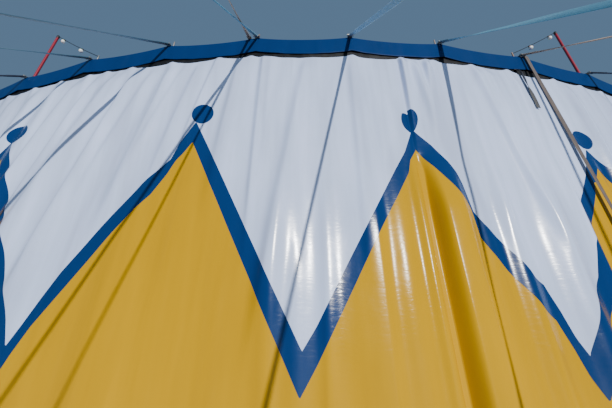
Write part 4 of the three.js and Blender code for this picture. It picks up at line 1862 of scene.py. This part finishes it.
@dataclass
class WallStormStrap:
    """The storm strap that lies over the eave and drops down the wall to a peg at its foot."""

    place: TentPlace
    finishes: Finishes
    angle: float
    width: float = 0.046
    thickness: float = 0.003
    lap_lines: Pair = (11.885, 11.95)
    eave: Pair = (11.99, 4.503)
    drop_start: Pair = (12.013, 4.47)
    drop_reach: Pair = (0.158, 4.289)
    sway: float = 9.0
    sway_rate: float = 1.9
    peg_line: float = 12.190
    ring_height: float = 0.181
    ring_size: Pair = (0.020, 0.0045)

    def route(self) -> list[Vector]:
        """Where the strap runs.

        Returns:
            Points from its end on the roof to its ring.
        """
        slope = math.tan(self.place.roof_slope)
        line, height = self.eave
        spots = [(radius, height + (line - radius) * slope) for radius in self.lap_lines]
        spots += [(12.004, 4.492), (12.015, 4.470)]
        spots += [(self.drop_start[0] + self.drop_reach[0] * share,
                   self.drop_start[1] - self.drop_reach[1] * share)
                  for share in np.linspace(0.05, 1.0, 9)]
        return [self.place.point(radius, self.angle, up) for radius, up in spots]

    def build(self) -> None:
        """Builds the strap, and the ring at its foot."""
        path = smooth_path(self.route(), 180)
        down = np.linspace(0.0, path_length(path), len(path))
        free = smoothstep(down, 0.3, 0.9) * smoothstep(-down, -4.3, -3.3)
        turns = np.radians(self.sway * np.sin(down * self.sway_rate) * free)
        outline = rounded_outline(self.width, self.thickness, 0.0014, 2)
        belt = MeshSketch().sweep(path, outline, self.place.across(self.angle), turns)
        piece = belt.finish("webbing_wall_storm", self.finishes.webbings[Shade.BROWN])
        attach(piece, "tan_webbing", "storm_strap_wall")
        centre = self.place.point(self.peg_line, self.angle, self.ring_height)
        circle = circle_path(centre, self.ring_size[0], Vector((1, 0, 0)), Vector((0, 1, 0)))
        ring = MeshSketch().sweep(circle, round_outline(self.ring_size[1], 10), UP, loop=True)
        attach(ring.finish("storm_peg_ring", self.finishes.ratchet), "pole_steel")


@dataclass
class StrapTail:
    """The loose end of a strap that hangs down over the top of the wall.

    route gives how far out from the tent's radius it hangs, and how high, from its top down.
    """

    place: TentPlace
    finishes: Finishes
    angle: float
    width: float = 0.046
    thickness: float = 0.0028
    turn: float = -52.0
    route: tuple[Pair, ...] = (
        (-0.008, 4.280), (-0.0065, 4.246), (-0.001, 4.232), (0.009, 4.218), (0.018, 4.200),
        (0.027, 4.160), (0.032, 4.100), (0.035, 4.020), (0.037, 3.930), (0.038, 3.830),
        (0.039, 3.740), (0.038, 3.645),
    )

    def build(self) -> None:
        spots = [self.place.point(self.place.radius + out, self.angle, up) for out, up in self.route]
        path = smooth_path(spots, 60)
        down = np.linspace(0.0, 1.0, len(path))
        turned = smoothstep(down, 0.05, 0.22) * (1 - smoothstep(down, 0.35, 0.75))
        outline = rounded_outline(self.width, self.thickness, 0.0013, 2)
        across = self.place.across(self.angle)
        belt = MeshSketch().sweep(path, outline, across, np.radians(self.turn * turned))
        piece = belt.finish("strap_tail", self.finishes.webbings[Shade.GREY])
        attach(piece, "grey_webbing", "loose_strap_tail")


# Lights


@dataclass
class FestoonLights:
    """A red light rod on a pole's head, with its festoon string and two lamps."""

    place: TentPlace
    finishes: Finishes
    side: Side
    angle: float
    towards_middle: int
    rod_radius: float = 0.015
    rod_foot: float = 4.506
    rod_top: float = 5.39
    cable: float = 0.004
    globe: float = 0.024
    lamp_at: Pair = (0.19, 0.67)
    string_start: Pair = (0.019, 5.368)
    string_end: Pair = (0.975, 4.638)
    string_sag: float = 0.018
    socket: tuple[Pair, ...] = (
        (0.0, 0.0), (0.008, 0.0), (0.0095, 0.002), (0.0095, 0.009), (0.0135, 0.010), (0.0140, 0.016),
        (0.0125, 0.019), (0.0, 0.019),
    )

    def rod(self) -> None:
        """Builds the rod, its black cap and its socket band."""
        base = self.place.point(self.place.pole_line, self.angle, 0.0)
        heights = (self.rod_foot, 4.8, 5.1, self.rod_top - 0.03)
        rod = MeshSketch().revolve(base, [(self.rod_radius, height) for height in heights], 28)
        attach(rod.finish(f"rod_{self.side.value}", self.finishes.red), "red_paint",
               f"light_rod_{self.side.value}")
        cap, top = self.rod_radius + 0.0025, self.rod_top
        black = MeshSketch().revolve(base, [
            (cap - 0.001, top - 0.046), (cap, top - 0.044), (cap, top - 0.006),
            (cap - 0.002, top - 0.002), (cap - 0.006, top), (0.0, top)], 28)
        black.revolve(base, [(0.0165, 4.545), (0.021, 4.547), (0.021, 4.572), (0.0165, 4.574)], 28)
        attach(black.finish(f"rod_cap_{self.side.value}", self.finishes.rubber), "black_rubber")

    def string(self) -> np.ndarray:
        """Builds the string as a curve.

        Returns:
            The points that it follows.
        """
        points = []
        for share in np.linspace(0.0, 1.0, 17):
            along = self.string_start[0] * (1 - share) + self.string_end[0] * share
            height = self.string_start[1] * (1 - share) + self.string_end[1] * share
            height -= 4 * self.string_sag * share * (1 - share)
            angle = self.angle + self.towards_middle * along / self.place.pole_line
            points.append(self.place.point(self.place.pole_line, angle, height))
        path = smooth_path(points, 90)
        curve = bpy.data.curves.new(f"string_{self.side.value}", "CURVE")
        curve.dimensions = "3D"
        curve.bevel_depth = self.cable
        curve.bevel_resolution = 3
        curve.use_fill_caps = True
        spline = curve.splines.new("POLY")
        spline.points.add(len(path) - 1)
        for point, spot in zip(spline.points, path):
            point.co = (*spot, 1.0)
        curve.materials.append(self.finishes.rubber)
        self.cord = bpy.data.objects.new(f"string_{self.side.value}", curve)
        bpy.context.scene.collection.objects.link(self.cord)
        attach(self.cord, "black_rubber", f"festoon_string_{self.side.value}")
        return path

    def lamp(self, number: int, spot: np.ndarray, along: np.ndarray) -> list[Piece]:
        """Builds a lamp under the string.

        Args:
            number: the lamp's number.
            spot: where it hangs.
            along: which way the string runs there.

        Returns:
            Its globe and its socket.
        """
        along = Vector(along).normalized()
        below = (along * along.z - UP).normalized()
        top = Vector(spot)
        centre = top + below * (self.cable + self.globe + 0.002)
        bend = [(self.globe * math.sin(turn), -self.globe * math.cos(turn))
                for turn in np.linspace(0.55, math.pi, 20)]
        profile = [(0.0, bend[0][1]), *bend[:-1], (0.0, self.globe)]
        globe = MeshSketch().revolve(centre, profile, 32, below)
        socket = MeshSketch().revolve(top - below * 0.006, self.socket, 24, below)
        saddle = np.array([top + along * aside for aside in (-0.016, -0.005, 0.005, 0.016)])
        socket.sweep(saddle, round_outline(self.cable + 0.0022, 14), below)
        name = f"{self.side.value}_{number}"
        glass = globe.finish(f"lamp_{name}", self.finishes.globe)
        holder = socket.finish(f"lamp_socket_{name}", self.finishes.rubber)
        return [attach(glass, "bulb_glass", f"festoon_bulb_{name}"), attach(holder, "black_rubber")]

    def build(self) -> None:
        self.rod()
        path = self.string()
        lamps = []
        for number, share in enumerate(self.lamp_at, start=1):
            index = round(share * (len(path) - 1))
            lamps += self.lamp(number, path[index], path[index + 1] - path[index - 1])


# Studio


@dataclass
class Studio:
    """A plain floor, soft light, a low key light and the photo's camera."""

    place: TentPlace
    turn: float = -0.0111
    lift: float = 0.4663
    roll: float = 0.003
    lens: float = 17.37
    stand_off: float = 14.0072
    stand_aside: float = 0.0039
    eye: float = 1.4838
    sun_azimuth: float = math.radians(19)
    sun_height: float = math.radians(16)
    sun_power: float = 4.6
    sun_spread: float = math.radians(0.9)
    sun_colour: Triple = (1.0, 0.98, 0.94)
    sky_power: float = 0.285
    sky_colour: Triple = (0.37, 0.63, 1.0)
    floor_size: float = 60.0
    floor_drop: float = 0.002

    def floor(self) -> None:
        """Builds the pale floor."""
        bpy.ops.mesh.primitive_plane_add(size=self.floor_size,
                                         location=(self.place.centre_x, 0, -self.floor_drop))
        floor = bpy.context.object
        floor.name = "studio_floor"
        graph = ShaderGraph("studio_floor")
        tone = graph.noise(graph.coordinates((0.6, 0.6, 0.6), False), detail=4.0)
        colour = graph.mix(tone, (0.66, 0.65, 0.63, 1.0), (0.72, 0.71, 0.69, 1.0))
        graph.dress(Base_Color=colour, Roughness=0.7)
        floor.data.materials.append(graph.material)

    def light(self) -> None:
        """Sets the soft light from all round and the key light from the right."""
        world = bpy.data.worlds.new("studio_world")
        world.use_nodes = True
        back = world.node_tree.nodes["Background"]
        back.inputs["Color"].default_value = rgba(self.sky_colour)
        back.inputs["Strength"].default_value = self.sky_power
        bpy.context.scene.world = world
        sun = bpy.data.lights.new("key_light", "SUN")
        sun.energy = self.sun_power
        sun.angle = self.sun_spread
        sun.color = self.sun_colour
        made = bpy.data.objects.new("key_light", sun)
        level = self.place.outward(self.sun_azimuth) * math.cos(self.sun_height)
        towards = level + UP * math.sin(self.sun_height)
        made.rotation_euler = towards.to_track_quat("Z", "Y").to_euler()
        bpy.context.scene.collection.objects.link(made)

    def camera(self) -> None:
        """Sets the camera where the photo was taken: close below the wall, looking up."""
        ahead = Vector((math.sin(self.turn), math.cos(self.turn), 0.0))
        forward = ahead * math.cos(self.lift) + UP * math.sin(self.lift)
        right = Vector((math.cos(self.turn), -math.sin(self.turn), 0.0))
        up = right.cross(forward)
        across = right * math.cos(self.roll) + up * math.sin(self.roll)
        above = up * math.cos(self.roll) - right * math.sin(self.roll)
        data = bpy.data.cameras.new("photo_camera")
        data.lens = self.lens
        data.sensor_width = 36.0
        data.clip_end = 200.0
        made = bpy.data.objects.new("photo_camera", data)
        spot = self.place.point(self.stand_off, self.stand_aside, self.eye)
        turned = Matrix((across, above, -forward)).transposed().to_4x4()
        made.matrix_world = Matrix.Translation(spot) @ turned
        bpy.context.scene.collection.objects.link(made)
        bpy.context.scene.camera = made

    def build(self) -> None:
        """Builds the studio."""
        self.floor()
        self.light()
        self.camera()


# The whole run


# The guy straps, counted from 0, whose poles carry a light rod, and those that others hang beside.
LIGHT_POLES = (1, 8)
MIDDLE_POLE = 4
WALL_STRAP_POLE = 7
WALL_STRAP_ASIDE = 0.052
TAIL_ASIDE = -0.150


def main() -> None:
    """Builds the run of the tent in order: cloth, eave, poles, straps, lights, then the studio."""
    logging.basicConfig(level=logging.INFO, format="%(name)s %(message)s")
    place = TentPlace.from_frame()
    finishes = Finishes()
    count = len(GUY_STRAPS)
    angles = [(index - (count - 1) / 2) * place.strap_angle for index in range(count)]
    wall = WallCloth(place, finishes)
    wall.build()
    EaveCloth(place, finishes, wall, angles).build()
    SidePoles(place, finishes, angles, LIGHT_POLES).build()
    stakes = Stakes(finishes)
    for number, (lay, angle) in enumerate(zip(GUY_STRAPS, angles), start=1):
        label = f"{number:02d}"
        GuyStrap(place, finishes, label, f"guy_strap_{label}", angle, lay).build()
        stakes.build(f"stake_{label}", f"ground_stake_{label}")
    StormStrap(place, finishes, "storm", "storm_strap_middle", angles[MIDDLE_POLE], STORM_LAY).build()
    stakes.build("stake_storm", "ground_stake_storm")
    stakes.build("peg_wall", "storm_peg")
    beside = angles[WALL_STRAP_POLE]
    WallStormStrap(place, finishes, beside + WALL_STRAP_ASIDE / place.radius).build()
    StrapTail(place, finishes, beside + TAIL_ASIDE / place.radius).build()
    for side, pole, towards_middle in zip(Side, LIGHT_POLES, (1, -1)):
        FestoonLights(place, finishes, side, angles[pole], towards_middle).build()
    Studio(place).build()


if __name__ == "__main__":
    main()
